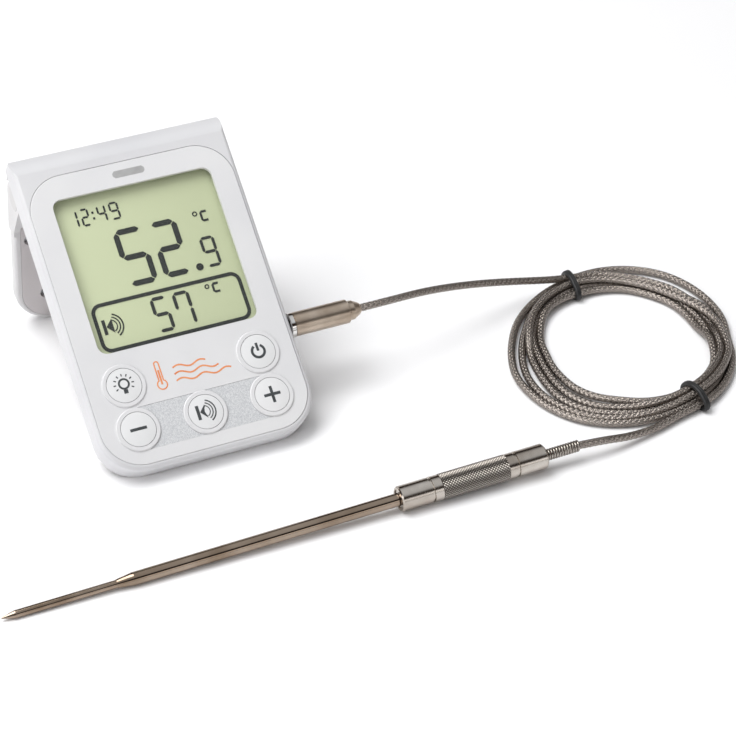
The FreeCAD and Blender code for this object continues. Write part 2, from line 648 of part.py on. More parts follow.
# ---- the whole thermometer -----------------------------------------------------------------
def thermometer():
    leaning = {
        "front_housing": front_housing(),
        "face_plate": face_plate(),
        "control_band": control_band(),
        "display_window": display_window(),
        "lcd_panel": lcd_panel(),
        "light_guide": light_guide(),
        "lcd_frame": lcd_frame(),
        "lcd_connector_strip": lcd_connector_strip(),
        "circuit_board": circuit_board(),
        "keypad_mat": keypad_mat(),
        "backlight_lamp": backlight_lamp(),
        "processor": processor(),
        "buzzer": buzzer(),
        "probe_socket": probe_socket(),
        "rear_housing": rear_housing(),
        "housing_screws": housing_screws(),
        "batteries": batteries(),
        "contact_plates": contact_plates(),
        "contact_springs": contact_springs(),
        "battery_cover": battery_cover(),
    }
    for name, (x, y) in BUTTONS.items():
        leaning[name] = button(x, y)
    nodes = {name: lean(shape) for name, shape in leaning.items()}
    swung = {
        "stand": stand(),
        "stand_liner": stand_liner(),
        "stand_screws": stand_screws(),
        "stand_magnets": stand_magnets(),
        "hinge_pins": hinge_pins(),
        "hinge_caps": hinge_caps(),
    }
    for name, shape in swung.items():
        nodes[name] = swing_open(shape)
    nodes.update(plug_pieces())
    nodes.update(probe_pieces())
    nodes["lead_to_plug"] = lead_tube("lead_to_plug", PLUG_ROUTE)
    nodes["lead_to_probe"] = lead_tube("lead_to_probe", PROBE_ROUTE)
    nodes["lead_coil"] = lead_coil()
    for name, angle in zip(("coil_tie_back", "coil_tie_front"), TIE_ANGLES):
        nodes[name] = coil_tie(angle)
    return nodes


for node, solid in thermometer().items():
    bound = solid.BoundBox
    print(node, "solids", len(solid.Solids), "valid", solid.isValid(),
          "z", round(bound.ZMin, 2), round(bound.ZMax, 2))
    solid.exportStep("parts/" + node + ".step")
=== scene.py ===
# %% [markdown]
# # A leaning roasting thermometer with its braided steel probe lead
# The hard parts come packed from CAD as a fixed frame. This lesson gives each of them its
# real finish, and makes by hand what CAD leaves plain: the braided lead, its rubber ties, the
# spring at the handle, the knurl, the printed signs and the display's segments.

# %% Load the frame
import math

import bmesh
import bpy
from mathutils import Matrix, Vector


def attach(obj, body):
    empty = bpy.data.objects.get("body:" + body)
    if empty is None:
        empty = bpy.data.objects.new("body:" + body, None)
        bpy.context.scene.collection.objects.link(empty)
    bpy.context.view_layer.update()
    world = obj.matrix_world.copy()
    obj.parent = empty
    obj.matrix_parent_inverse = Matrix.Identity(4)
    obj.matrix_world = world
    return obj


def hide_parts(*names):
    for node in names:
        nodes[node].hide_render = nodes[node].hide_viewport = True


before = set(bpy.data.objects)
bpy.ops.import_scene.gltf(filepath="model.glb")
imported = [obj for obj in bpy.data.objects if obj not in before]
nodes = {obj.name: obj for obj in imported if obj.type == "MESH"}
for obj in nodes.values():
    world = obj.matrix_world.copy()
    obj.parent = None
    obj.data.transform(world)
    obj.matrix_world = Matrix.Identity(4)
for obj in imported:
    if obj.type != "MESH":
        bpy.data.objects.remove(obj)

MM = 0.001
scene = bpy.context.scene
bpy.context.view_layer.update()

# %% [markdown]
# ## A few small tools
# Colours are written as the sRGB hex values that a maker would quote, and one function turns
# them to the linear numbers that shaders use. One function adds a node with its settings and
# its links, which keeps every tree readable. Another starts a material, with the values that
# are the same all over on the shader's own sockets.

# %% Colours and nodes
def srgb(code):
    """An sRGB hex colour as linear RGBA."""
    shares = [int(code[i:i + 2], 16) / 255 for i in (1, 3, 5)]
    linear = [s / 12.92 if s <= 0.04045 else ((s + 0.055) / 1.055) ** 2.4 for s in shares]
    return (*linear, 1.0)


def add(tree, kind, settings=(), links=()):
    """One node. Settings are its properties or input values. Links are what feeds its inputs:
    a socket, or a node, whose first output is then used."""
    node = tree.nodes.new(kind)
    for key, value in dict(settings).items():
        if isinstance(key, str) and hasattr(node, key):
            setattr(node, key, value)
        else:
            node.inputs[key].default_value = value
    for key, source in dict(links).items():
        socket = source.outputs[0] if isinstance(source, bpy.types.Node) else source
        tree.links.new(socket, node.inputs[key])
    return node


print("white is", srgb("#ffffff"))

# %% Starting a material
def start(name, colour, roughness, metallic=0.0, **sockets):
    """A material with one Principled shader: the material, its tree, its shader and the place
    on the object that its patterns follow."""
    made = bpy.data.materials.new(name)
    made.use_nodes = True
    tree = made.node_tree
    shader = tree.nodes["Principled BSDF"]
    values = {"Base Color": srgb(colour), "Roughness": roughness, "Metallic": metallic}
    for key, value in {**values, **sockets}.items():
        shader.inputs[key].default_value = value
    place = add(tree, "ShaderNodeTexCoord").outputs["Object"]
    return made, tree, shader, place


def drifting(tree, place, patch_mm, low, high):
    """A colour that drifts between two hex values in patches of about patch_mm."""
    noise = add(tree, "ShaderNodeTexNoise", {"Scale": 1 / (patch_mm * MM), "Detail": 2.0},
                {"Vector": place})
    ramp = add(tree, "ShaderNodeValToRGB", links={"Fac": noise.outputs["Fac"]})
    low_stop, high_stop = ramp.color_ramp.elements
    low_stop.position, low_stop.color = 0.3, srgb(low)
    high_stop.position, high_stop.color = 0.7, srgb(high)
    return ramp.outputs["Color"]


print("material tools ready")

# %% [markdown]
# ## Tools for grown pieces
# The braid, the knurl and the spring each repeat one small thing along a line or round a
# surface. Geometry Nodes make them from a few named sizes, and the result is then turned into
# a plain mesh, because a finished piece should not depend on a live tree.

# %% Growing a piece from a tree
def new_tree(name, sizes):
    """A Geometry Nodes tree with a named input for each size, and its group input's sockets."""
    made = bpy.data.node_groups.new(name, "GeometryNodeTree")
    made.interface.new_socket("Geometry", in_out="INPUT", socket_type="NodeSocketGeometry")
    for key, value in sizes.items():
        socket = made.interface.new_socket(key, in_out="INPUT", socket_type="NodeSocketFloat")
        socket.default_value = value
    made.interface.new_socket("Finish", in_out="INPUT", socket_type="NodeSocketMaterial")
    made.interface.new_socket("Geometry", in_out="OUTPUT", socket_type="NodeSocketGeometry")
    return made, add(made, "NodeGroupInput").outputs


def end_tree(tree, geometry, finish):
    """Every tree ends alike: its instances made real, and its finish set."""
    real = add(tree, "GeometryNodeRealizeInstances", links={"Geometry": geometry})
    painted = add(tree, "GeometryNodeSetMaterial", links={"Geometry": real, "Material": finish})
    add(tree, "NodeGroupOutput", links={0: painted})
    print(tree.name, "has", len(tree.nodes), "nodes")


def grown(name, tree, finish, seed=None, **sizes):
    """The plain mesh piece that a tree makes of a seed mesh, with some sizes set anew."""
    holder = bpy.data.objects.new(name + "_holder", seed or bpy.data.meshes.new(name + "_seed"))
    scene.collection.objects.link(holder)
    modifier = holder.modifiers.new(name, "NODES")
    modifier.node_group = tree
    for socket in tree.interface.items_tree:
        if socket.name in sizes:
            modifier[socket.identifier] = sizes[socket.name]
        elif socket.name == "Finish":
            modifier[socket.identifier] = finish
    shown = holder.evaluated_get(bpy.context.evaluated_depsgraph_get())
    mesh = bpy.data.meshes.new_from_object(shown)
    bpy.data.objects.remove(holder)
    piece = bpy.data.objects.new(name, mesh)
    scene.collection.objects.link(piece)
    print(name, "faces", len(mesh.polygons))
    return piece


# %% [markdown]
# ## The camera
# A product picture is taken with a long lens from above left, so that the tall face and the
# flat lead are both seen at a glance.

# %% Camera
CAMERA_PLACE = (-0.20517, -0.59172, 0.48233)
CAMERA_DOWN, CAMERA_ASIDE = 36.22, 23.82    # degrees below level, and to the right of +Y
camera = bpy.data.objects.new("camera", bpy.data.cameras.new("camera"))
scene.collection.objects.link(camera)
camera.data.lens = 127.17
camera.data.sensor_width = 36.0
camera.data.clip_start = 0.01
camera.location = CAMERA_PLACE
camera.rotation_euler = (math.radians(90 - CAMERA_DOWN), 0, math.radians(-CAMERA_ASIDE))
scene.camera = camera
scene.view_settings.view_transform = "Standard"
print("camera at", [round(v, 3) for v in camera.location])

# %% [markdown]
# ## The lead's route
# A braided probe lead is about 2.5 mm thick and springy. It is 1.28 m long here: straight out
# of the spring at the handle, five and a half turns in an oval coil held by two rubber ties,
# then up to the plug. A NURBS curve of low order follows listed points closely and stays
# smooth. The coil's points sit every 15 degrees round an oval; each turn has its own lane, so
# the turns lie beside and over each other as real ones do.

# %% The route's free ends, in mm
PLUG_ROUTE = [
    (58.6, 12.32, 22.56), (68.4, 12.32, 22.56), (82.0, 15.9, 20.0), (96.0, 19.3, 16.2),
    (109.0, 22.0, 12.1), (121.0, 23.9, 8.2), (131.0, 24.3, 5.6),
]
PROBE_ROUTE = [
    (99.6, -57.0, 5.26), (107.5, -57.3, 4.9), (117.5, -56.6, 2.7), (128.0, -54.9, 1.7),
    (137.0, -52.0, 2.0),
]
COIL_CENTRE = (138.3, -13.5)
COIL_MEAN = (37.8, 30.1)    # half axes of the oval that lane 0 follows
COIL_TURN = 53.0            # direction of its long axis
COIL_TOP, COIL_SPLIT = 90, -78      # where the ties sit, and where the lanes change over
COIL_END = -75 - 5 * 360    # the coil runs down from COIL_TOP to here
POINT_STEP = 15             # degrees between two points of the coil
print("free ends have", len(PLUG_ROUTE), "and", len(PROBE_ROUTE), "points")

# %% The coil's lanes on its right half
# At each angle, one (outward, height) pair in mm for each turn that passes there, in order
# from the plug. The right half is passed six times.
RIGHT_LANES = {
    90: [(3.4, 4.4), (-0.2, 2.3), (-2.7, 2.3), (0.9, 4.4), (2.3, 2.3), (4.8, 2.3)],
    75: [(1.6, 3.9), (-1.1, 1.7), (-3.6, 1.7), (-0.9, 3.9), (1.4, 1.7), (6.4, 1.8)],
    60: [(-0.9, 3.6), (-2.2, 1.4), (-4.7, 1.4), (-3.4, 3.6), (0.3, 1.4), (7.2, 1.4)],
    45: [(-2.3, 3.6), (-3.6, 1.4), (-6.1, 1.4), (-4.8, 3.6), (-1.1, 1.4), (7.0, 1.4)],
    30: [(-1.6, 3.5), (-3.2, 1.4), (-5.8, 1.4), (-4.5, 3.6), (-0.4, 1.4), (5.8, 1.4)],
    15: [(-0.7, 1.5), (-3.3, 1.4), (-5.9, 1.4), (-2.2, 3.7), (1.9, 1.4), (4.9, 1.4)],
    0: [(-0.6, 1.4), (-3.0, 1.4), (-5.4, 1.4), (0.6, 3.7), (1.8, 1.4), (4.3, 1.4)],
    -15: [(-0.8, 3.6), (-2.2, 1.4), (-3.1, 3.2), (1.7, 3.7), (0.4, 1.4), (3.0, 1.4)],
    -32: [(0.8, 3.6), (-0.5, 1.4), (-1.7, 3.5), (3.2, 3.6), (2.0, 1.4), (4.5, 1.4)],
    -52: [(0.3, 4.2), (-1.2, 1.6), (0.0, 2.7), (2.6, 4.1), (2.7, 1.5), (5.2, 1.4)],
    -78: [(-1.1, 4.4), (-2.4, 2.3), (0.1, 2.3), (1.4, 4.4), (2.6, 2.3), (5.1, 2.3)],
}
print("right half: stations", len(RIGHT_LANES), "lanes", len(RIGHT_LANES[COIL_TOP]))

# %% The coil's lanes on its left half, which is passed five times
LEFT_LANES = {
    -78: [(-1.1, 4.4), (-2.4, 2.3), (0.1, 2.3), (1.4, 4.4), (2.6, 2.3)],
    -97: [(-2.6, 3.6), (-4.6, 2.3), (-0.9, 1.7), (0.5, 3.4), (2.1, 1.8)],
    -120: [(-5.2, 1.7), (-8.1, 2.4), (-2.5, 1.4), (0.1, 1.4), (2.6, 1.4)],
    -135: [(-4.5, 1.5), (-7.8, 2.4), (-1.4, 1.4), (1.2, 1.4), (3.7, 1.4)],
    -150: [(-4.4, 1.4), (-7.9, 1.9), (-1.0, 1.4), (2.0, 1.4), (4.5, 1.4)],
    -165: [(-4.8, 1.4), (-7.8, 1.6), (-1.8, 1.4), (2.4, 1.4), (5.1, 1.4)],
    -180: [(-4.3, 1.4), (-6.9, 1.4), (-1.8, 1.4), (2.3, 1.4), (5.7, 1.4)],
    -195: [(-3.4, 1.4), (-6.0, 1.4), (-0.9, 1.4), (1.8, 1.4), (5.2, 1.4)],
    -210: [(-1.5, 1.4), (-4.0, 1.4), (-0.2, 3.5), (1.7, 1.4), (5.0, 1.4)],
    -225: [(-0.4, 1.4), (-2.7, 1.4), (0.8, 3.6), (1.9, 1.4), (5.4, 1.4)],
    -240: [(0.5, 1.5), (-0.9, 2.6), (1.7, 3.7), (2.9, 1.4), (5.4, 1.4)],
    -255: [(0.4, 1.9), (-1.2, 2.6), (1.6, 4.1), (2.9, 1.9), (5.2, 1.8)],
    -270: [(-0.2, 2.3), (-2.7, 2.3), (0.9, 4.4), (2.3, 2.3), (4.8, 2.3)],
}
print("left half: stations", len(LEFT_LANES), "lanes", len(LEFT_LANES[COIL_SPLIT]))


# %% The coil's points, by a loop over the angle
def lane(angle):
    """(outward, height) of the turn at an angle that runs on down from COIL_TOP."""
    passed = math.floor((COIL_TOP - angle) / 360)
    here = angle + 360 * passed
    table = RIGHT_LANES if here >= COIL_SPLIT else LEFT_LANES
    before = min(station for station in table if station >= here)
    after = max(station for station in table if station <= here)
    share = 0 if before == after else (before - here) / (before - after)
    return [a + (b - a) * share for a, b in zip(table[before][passed], table[after][passed])]


def coil_point(angle, outward, height):
    """A place on the coil, in mm: the oval's point at that angle, moved outward."""
    long_axis, short_axis = COIL_MEAN[0] + outward, COIL_MEAN[1] + outward
    turned = math.radians(angle - COIL_TURN)
    reach = (long_axis * short_axis
             / math.hypot(short_axis * math.cos(turned), long_axis * math.sin(turned)))
    return (COIL_CENTRE[0] + reach * math.cos(math.radians(angle)),
            COIL_CENTRE[1] + reach * math.sin(math.radians(angle)), height)


coil = [coil_point(a, *lane(a)) for a in range(COIL_TOP, COIL_END - 1, -POINT_STEP)]
route = PROBE_ROUTE + coil[::-1] + PLUG_ROUTE[::-1]
print("points on the lead's route:", len(route))


# %% The lead's core as one NURBS curve
def nurbs_curve(name, points, resolution):
    """A curve of one open NURBS spline with these control points, in mm."""
    curve = bpy.data.curves.new(name, "CURVE")
    curve.dimensions = "3D"
    spline = curve.splines.new("NURBS")
    spline.points.add(len(points) - 1)
    for point, (x, y, z) in zip(spline.points, points):
        point.co = (x * MM, y * MM, z * MM, 1.0)
    spline.order_u = 3
    spline.use_endpoint_u = True
    spline.resolution_u = resolution
    return curve


def curve_mesh(curve):
    """The mesh of a curve: its bare line, or its tube once it has a bevel."""
    holder = bpy.data.objects.new(curve.name, curve)
    mesh = bpy.data.meshes.new_from_object(holder)
    bpy.data.objects.remove(holder)
    return mesh


# The jacket is coloured nearly black as painted shade for the gaps between the braid's wires.
CORE_RADIUS = 1.06          # the dark jacket that shows between the braid's wires
lead_curve = nurbs_curve("lead_core", route, 5)
lead_line = curve_mesh(lead_curve)
steps_along = zip(lead_line.vertices, lead_line.vertices[1:])
lead_length = sum((after.co - before.co).length for before, after in steps_along)
lead_curve.bevel_depth = CORE_RADIUS * MM
lead_curve.bevel_resolution = 2
lead = bpy.data.objects.new("lead_core", lead_curve)
scene.collection.objects.link(lead)
print("lead length in m", round(lead_length, 3))

# %% [markdown]
# ## The steel braid
# Eight flat bundles of fine steel wire run round the lead one way and eight the other, each
# over one and under the next. Painting that as a bump would lose the glints on the edges, so
# it is real geometry: a flat strip is laid along the route for each bundle, wound round at
# the braid's pitch and lifted where it crosses over. One tree serves both hands.

# %% The braid tree: eight flat strips, one step of the grid for each step along the lead
BUNDLES = 8
BRAID_SIZES = {
    "Pitch": 14.4 * MM,         # along the lead for one turn of a bundle
    "Radius": 1.16 * MM, "Strip width": 0.66 * MM,
    "Lift": 0.09 * MM, "Crown": 0.07 * MM, "Hand": 1.0, "Step": 0.3 * MM,
}
MATH, VECTORS = "ShaderNodeMath", "ShaderNodeVectorMath"
t, given = new_tree("braid_hand", BRAID_SIZES)
line = add(t, "GeometryNodeMeshToCurve", links={"Mesh": given["Geometry"]})
whole = add(t, "GeometryNodeCurveLength", links={"Curve": line})
per_step = add(t, MATH, {"operation": "DIVIDE"}, {0: whole, 1: given["Step"]})
steps = add(t, MATH, {"operation": "FLOOR"}, {0: per_step})
strip = add(t, "GeometryNodeMeshGrid", {"Size X": 1.0, "Size Y": 1.0, "Vertices Y": 3},
            {"Vertices X": steps})
one = add(t, "GeometryNodeGeometryToInstance", links={0: strip})
copies = add(t, "GeometryNodeDuplicateElements", {"domain": "INSTANCE", "Amount": BUNDLES},
             {"Geometry": one})
marked = add(t, "GeometryNodeStoreNamedAttribute",
             {"data_type": "FLOAT", "domain": "INSTANCE", "Name": "bundle"},
             {"Geometry": copies, "Value": copies.outputs["Duplicate Index"]})
strips = add(t, "GeometryNodeRealizeInstances", links={"Geometry": marked})
print("strips laid with", len(t.nodes), "nodes")

# %% Where each point of a strip goes: how far along the lead, and how far aside in the strip
flat = add(t, "ShaderNodeSeparateXYZ", links={0: add(t, "GeometryNodeInputPosition")}).outputs
bundle = add(t, "GeometryNodeInputNamedAttribute", {"data_type": "FLOAT", "Name": "bundle"})
aside = add(t, MATH, {"operation": "MULTIPLY"}, {0: flat["Y"], 1: given["Strip width"]})
slope = add(t, MATH, {"operation": "DIVIDE"}, {0: given["Radius"], 1: given["Pitch"]})
around = add(t, MATH, {"operation": "MULTIPLY", 1: 2 * math.pi}, {0: slope})
lay_angle = add(t, MATH, {"operation": "ARCTANGENT"}, {0: around})
lay_cos = add(t, MATH, {"operation": "COSINE"}, {0: lay_angle})
lay_sin = add(t, MATH, {"operation": "SINE"}, {0: lay_angle})
share = add(t, MATH, {"operation": "ADD", 1: 0.5}, {0: flat["X"]})
along = add(t, MATH, {"operation": "MULTIPLY"}, {0: share, 1: whole})
skew = add(t, MATH, {"operation": "MULTIPLY"}, {0: aside, 1: lay_sin})
handed_skew = add(t, MATH, {"operation": "MULTIPLY"}, {0: skew, 1: given["Hand"]})
sampled_at = add(t, MATH, {"operation": "SUBTRACT"}, {0: along, 1: handed_skew})
print("distances worked out with", len(t.nodes), "nodes")

# %% The angle round the lead: the bundle's own share of a turn, and the turns up to here
turns = add(t, MATH, {"operation": "DIVIDE"}, {0: along, 1: given["Pitch"]})
handed_turns = add(t, MATH, {"operation": "MULTIPLY"}, {0: turns, 1: given["Hand"]})
own_share = add(t, MATH, {"operation": "DIVIDE", 1: float(BUNDLES)}, {0: bundle})
turned = add(t, MATH, {"operation": "ADD"}, {0: own_share, 1: handed_turns})
middle_angle = add(t, MATH, {"operation": "MULTIPLY", 1: 2 * math.pi}, {0: turned})
aside_round = add(t, MATH, {"operation": "MULTIPLY"}, {0: aside, 1: lay_cos})
aside_angle = add(t, MATH, {"operation": "DIVIDE"}, {0: aside_round, 1: given["Radius"]})
angle = add(t, MATH, {"operation": "ADD"}, {0: aside_angle, 1: middle_angle})
print("angles worked out with", len(t.nodes), "nodes")

# %% The distance from the lead's middle: lifted at each second crossing, crowned across
phase = add(t, MATH, {"operation": "MULTIPLY", 1: 2 * math.pi * BUNDLES}, {0: turns})
wave = add(t, MATH, {"operation": "COSINE"}, {0: phase})
rise = add(t, MATH, {"operation": "MULTIPLY"}, {0: wave, 1: given["Lift"]})
handed_rise = add(t, MATH, {"operation": "MULTIPLY"}, {0: rise, 1: given["Hand"]})
lifted = add(t, MATH, {"operation": "ADD"}, {0: handed_rise, 1: given["Radius"]})
squared = add(t, MATH, {"operation": "MULTIPLY"}, {0: flat["Y"], 1: flat["Y"]})
to_edge = add(t, MATH, {"operation": "MULTIPLY", 1: 4.0}, {0: squared})
sag = add(t, MATH, {"operation": "MULTIPLY"}, {0: to_edge, 1: given["Crown"]})
distance = add(t, MATH, {"operation": "SUBTRACT"}, {0: lifted, 1: sag})
print("heights worked out with", len(t.nodes), "nodes")

# %% Wind the strips round the route
sample = add(t, "GeometryNodeSampleCurve", {"mode": "LENGTH", "use_all_curves": True},
             {"Curves": line, "Length": sampled_at}).outputs
side = add(t, VECTORS, {"operation": "CROSS_PRODUCT"}, {0: sample["Normal"], 1: sample["Tangent"]})
spot = sample["Position"]
for operation, axis in (("COSINE", sample["Normal"]), ("SINE", side)):
    part = add(t, MATH, {"operation": operation}, {0: angle})
    reach = add(t, MATH, {"operation": "MULTIPLY"}, {0: part, 1: distance})
    offset = add(t, VECTORS, {"operation": "SCALE"}, {0: axis, "Scale": reach})
    spot = add(t, VECTORS, {"operation": "ADD"}, {0: spot, 1: offset}).outputs[0]
noted = add(t, "GeometryNodeStoreNamedAttribute",
            {"data_type": "FLOAT", "domain": "POINT", "Name": "across"},
            {"Geometry": strips, "Value": flat["Y"]})
wound = add(t, "GeometryNodeSetPosition", links={"Geometry": noted, "Position": spot})
smooth = add(t, "GeometryNodeSetShadeSmooth", links={"Geometry": wound})
end_tree(t, smooth, given["Finish"])
braid_tree = t

# %% [markdown]
# The wire is stainless steel, drawn and braided, then handled: each bundle is a row of fine
# wires, so light breaks into fine lines along it; the dark brownish valleys are painted shade.

# %% Braided stainless wire
# Drawn wire is bright and slightly dull from handling. The five wires of a bundle are too
# fine to model, so a ripple across each strip bends the light as they do.
WIRES_IN_BUNDLE = 5
braid_steel, tree, shader, place = start("braided_stainless_wire", "#8f8780", 0.26, 1.0)
across = add(tree, "ShaderNodeAttribute", {"attribute_name": "across"}).outputs["Fac"]
wires = add(tree, MATH, {"operation": "MULTIPLY", 1: WIRES_IN_BUNDLE * 2 * math.pi}, {0: across})
ridge = add(tree, MATH, {"operation": "COSINE"}, {0: wires})
bump = add(tree, "ShaderNodeBump", {"Strength": 0.5, "Distance": 0.03 * MM}, {"Height": ridge})
tree.links.new(bump.outputs["Normal"], shader.inputs["Normal"])
tree.links.new(drifting(tree, place, 0.35, "#857c75", "#b4aca5"), shader.inputs["Base Color"])
braids = [grown("lead_braid_right", braid_tree, braid_steel, lead_line.copy(), Hand=1.0),
          grown("lead_braid_left", braid_tree, braid_steel, lead_line.copy(), Hand=-1.0)]

# %% The jacket under the braid
# Extruded matt silicone, nearly black as painted shade: it shows only as dark gaps between wires.
jacket_painted_shade, tree, shader, place = start("dark_silicone_painted_shade", "#2b2522", 0.6)
tree.links.new(drifting(tree, place, 1.0, "#211c1a", "#352e2a"), shader.inputs["Base Color"])
lead_curve.materials.append(jacket_painted_shade)
print(jacket_painted_shade.name, "on", lead.name)

# %% [markdown]
# ## The rubber ties
# Two black rubber ties hold the coil. Each is one round rubber cord that goes twice round the
# strands and pulls them together. A closed CAD ring would look like a washer, so each is a
# soft curve through listed points that drifts along the strands, made a mesh.

# %% Black rubber
# Moulded rubber has a dull skin with a fine grain, about six grains to a millimetre.
tie_rubber, tree, shader, place = start("moulded_black_rubber", "#141414", 0.5)
tree.links.new(drifting(tree, place, 0.8, "#0e0e0f", "#232324"), shader.inputs["Base Color"])
grain = add(tree, "ShaderNodeTexNoise", {"Scale": 6 / MM}, {"Vector": place}).outputs["Fac"]
bump = add(tree, "ShaderNodeBump", {"Strength": 0.4, "Distance": 0.05 * MM}, {"Height": grain})
tree.links.new(bump.outputs["Normal"], shader.inputs["Normal"])
print("rubber:", tie_rubber.name)

# %% Wind the two ties, (outward, height) in mm round each bundle
TIE_RADIUS = 0.72
TIE_DRIFT = 1.25            # degrees along the strands for one wrap
TIE_LOOPS = {
    "back": (COIL_TOP, [(-2.7, 0.75), (1.0, 0.75), (4.8, 0.75), (6.7, 1.5), (6.6, 3.5),
                        (5.1, 5.7), (3.4, 6.3), (0.9, 6.3), (-1.7, 5.1), (-4.3, 3.5),
                        (-4.7, 1.5)]),
    "front": (COIL_SPLIT, [(-2.4, 0.75), (1.0, 0.75), (5.1, 0.75), (7.0, 1.5), (6.9, 3.4),
                           (5.0, 4.9), (2.8, 6.2), (-0.9, 6.3), (-3.2, 5.0), (-4.4, 3.4),
                           (-4.4, 1.5)]),
}
ties = []
for where, (station, loop) in TIE_LOOPS.items():
    wraps = [coil_point(station + TIE_DRIFT * (i / len(loop) - 1), *loop[i % len(loop)])
             for i in range(2 * len(loop) + 1)]
    tie_curve = nurbs_curve("tie_" + where, wraps, 6)
    tie_curve.bevel_depth = TIE_RADIUS * MM
    tie_curve.bevel_resolution = 4
    tie_curve.use_fill_caps = True
    tie_mesh = curve_mesh(tie_curve)
    tie_mesh.materials.clear()
    tie_mesh.materials.append(tie_rubber)
    for face in tie_mesh.polygons:
        face.use_smooth = True
    ties.append(bpy.data.objects.new("tie_" + where, tie_mesh))
    scene.collection.objects.link(ties[-1])
    print("tie_" + where, "faces", len(tie_mesh.polygons))

# %% [markdown]
# ## The probe's steel
# The needle is drawn tube, polished until it mirrors the room. The handle is turned on a
# lathe, which leaves rings too fine to see one by one, but they spread its highlights. The
# spring is drawn wire, duller than both.

# %% Turned stainless steel
# The tool's rings run round the handle, here about 1.5 to a millimetre so that they show.
turned_steel, tree, shader, place = start("turned_stainless_steel", "#b9b2aa", 0.2, 1.0)
tree.links.new(drifting(tree, place, 9.0, "#a79d93", "#cbc5be"), shader.inputs["Base Color"])
rings = add(tree, "ShaderNodeTexWave", {"wave_type": "BANDS", "bands_direction": "X",
                                        "Scale": 1.5 / MM, "Distortion": 0.6}, {"Vector": place})
bump = add(tree, "ShaderNodeBump", {"Strength": 0.3, "Distance": 0.006 * MM},
           {"Height": rings.outputs["Fac"]})
tree.links.new(bump.outputs["Normal"], shader.inputs["Normal"])
print("handle steel:", turned_steel.name)

# %% Polished needle steel
# A mirror polish with faint scuffs about a millimetre apart, warm from use over heat.
needle_steel, tree, shader, place = start("polished_stainless_tube", "#9a8a7c", 0.13, 1.0)
tree.links.new(drifting(tree, place, 14.0, "#82705f", "#a8998b"), shader.inputs["Base Color"])
scuffs = add(tree, "ShaderNodeTexNoise", {"Scale": 0.9 / MM, "Detail": 3.0}, {"Vector": place})
bump = add(tree, "ShaderNodeBump", {"Strength": 0.15, "Distance": 0.01 * MM},
           {"Height": scuffs.outputs["Fac"]})
tree.links.new(bump.outputs["Normal"], shader.inputs["Normal"])
print("needle steel:", needle_steel.name)

# %% Spring and knurl steel
# Drawn spring wire is an even satin grey. In the knurl, the grooves between the pyramids are
# darkened with painted shade, and their tips are lighter, rubbed bright.
spring_steel, tree, shader, place = start("drawn_spring_steel", "#9b948d", 0.24, 1.0)
tree.links.new(drifting(tree, place, 0.7, "#7c746c", "#b5afa8"), shader.inputs["Base Color"])
knurl_steel, tree, shader, place = start("pressed_diamond_knurl_steel", "#9a928a", 0.3, 1.0)
tip = add(tree, "ShaderNodeAttribute", {"attribute_name": "pressed"}).outputs["Fac"]
# The ramp darkens the grooves as painted shade and lightens the tips.
groove_shade_ramp = add(tree, "ShaderNodeValToRGB", links={"Fac": tip})
groove_shade_ramp.color_ramp.elements[0].color = srgb("#2e2823")
groove_shade_ramp.color_ramp.elements[1].color = srgb("#c9c2ba")
tree.links.new(groove_shade_ramp.outputs["Color"], shader.inputs["Base Color"])
print("spring steel:", spring_steel.name, "knurl steel:", knurl_steel.name)

# %% [markdown]
# ## The knurl
# A knurling wheel presses a diamond pattern of small pyramids into the handle's middle, for
# grip. It could be a bump, but its outline and its glints would then be flat, so a grid is
# rolled round the handle and raised where the two sets of grooves leave it.

# %% The probe's own frame: x runs back from the handle's front end
HANDLE_START = (40.6, -57.0, 3.9)
HANDLE_LENGTH, SPRING_END = 47.5, 59.0
PROBE_SLOPE = math.atan((3.9 - 1.2) / 116.7)    # the tip lies lower than the handle
laid = (Matrix.Translation(Vector(HANDLE_START) * MM)
        @ Matrix.Rotation(-PROBE_SLOPE, 4, "Y"))
print("probe slope in degrees", round(math.degrees(PROBE_SLOPE), 2))

# %% The knurl tree
KNURL_SIZES = {"Start": 13.2 * MM, "Length": 21.4 * MM, "Root": 3.755 * MM,
               "Height": 0.2 * MM, "Round": 26.0, "Rows": 23.0}
t, given = new_tree("diamond_knurl", KNURL_SIZES)
band = add(t, "GeometryNodeMeshGrid", {"Size X": 1.0, "Size Y": 1.0, "Vertices X": 139,
                                       "Vertices Y": 157}).outputs["Mesh"]
flat = add(t, "ShaderNodeSeparateXYZ", links={0: add(t, "GeometryNodeInputPosition")}).outputs
share = add(t, MATH, {"operation": "ADD", 1: 0.5}, {0: flat["X"]})
share_round = add(t, MATH, {"operation": "ADD", 1: 0.5}, {0: flat["Y"]})
rows = add(t, MATH, {"operation": "MULTIPLY"}, {0: share, 1: given["Rows"]})
columns = add(t, MATH, {"operation": "MULTIPLY"}, {0: share_round, 1: given["Round"]})
ridges = []
for operation in ("ADD", "SUBTRACT"):
    slanted = add(t, MATH, {"operation": operation}, {0: rows, 1: columns})
    ridges.append(add(t, MATH, {"operation": "PINGPONG", 1: 0.5}, {0: slanted}))
lower = add(t, MATH, {"operation": "MINIMUM"}, dict(enumerate(ridges)))
pressed = add(t, MATH, {"operation": "MULTIPLY", 1: 2.0}, {0: lower})
raised = add(t, MATH, {"operation": "MULTIPLY"}, {0: pressed, 1: given["Height"]})
radius = add(t, MATH, {"operation": "ADD"}, {0: raised, 1: given["Root"]})
print("pyramids raised with", len(t.nodes), "nodes")

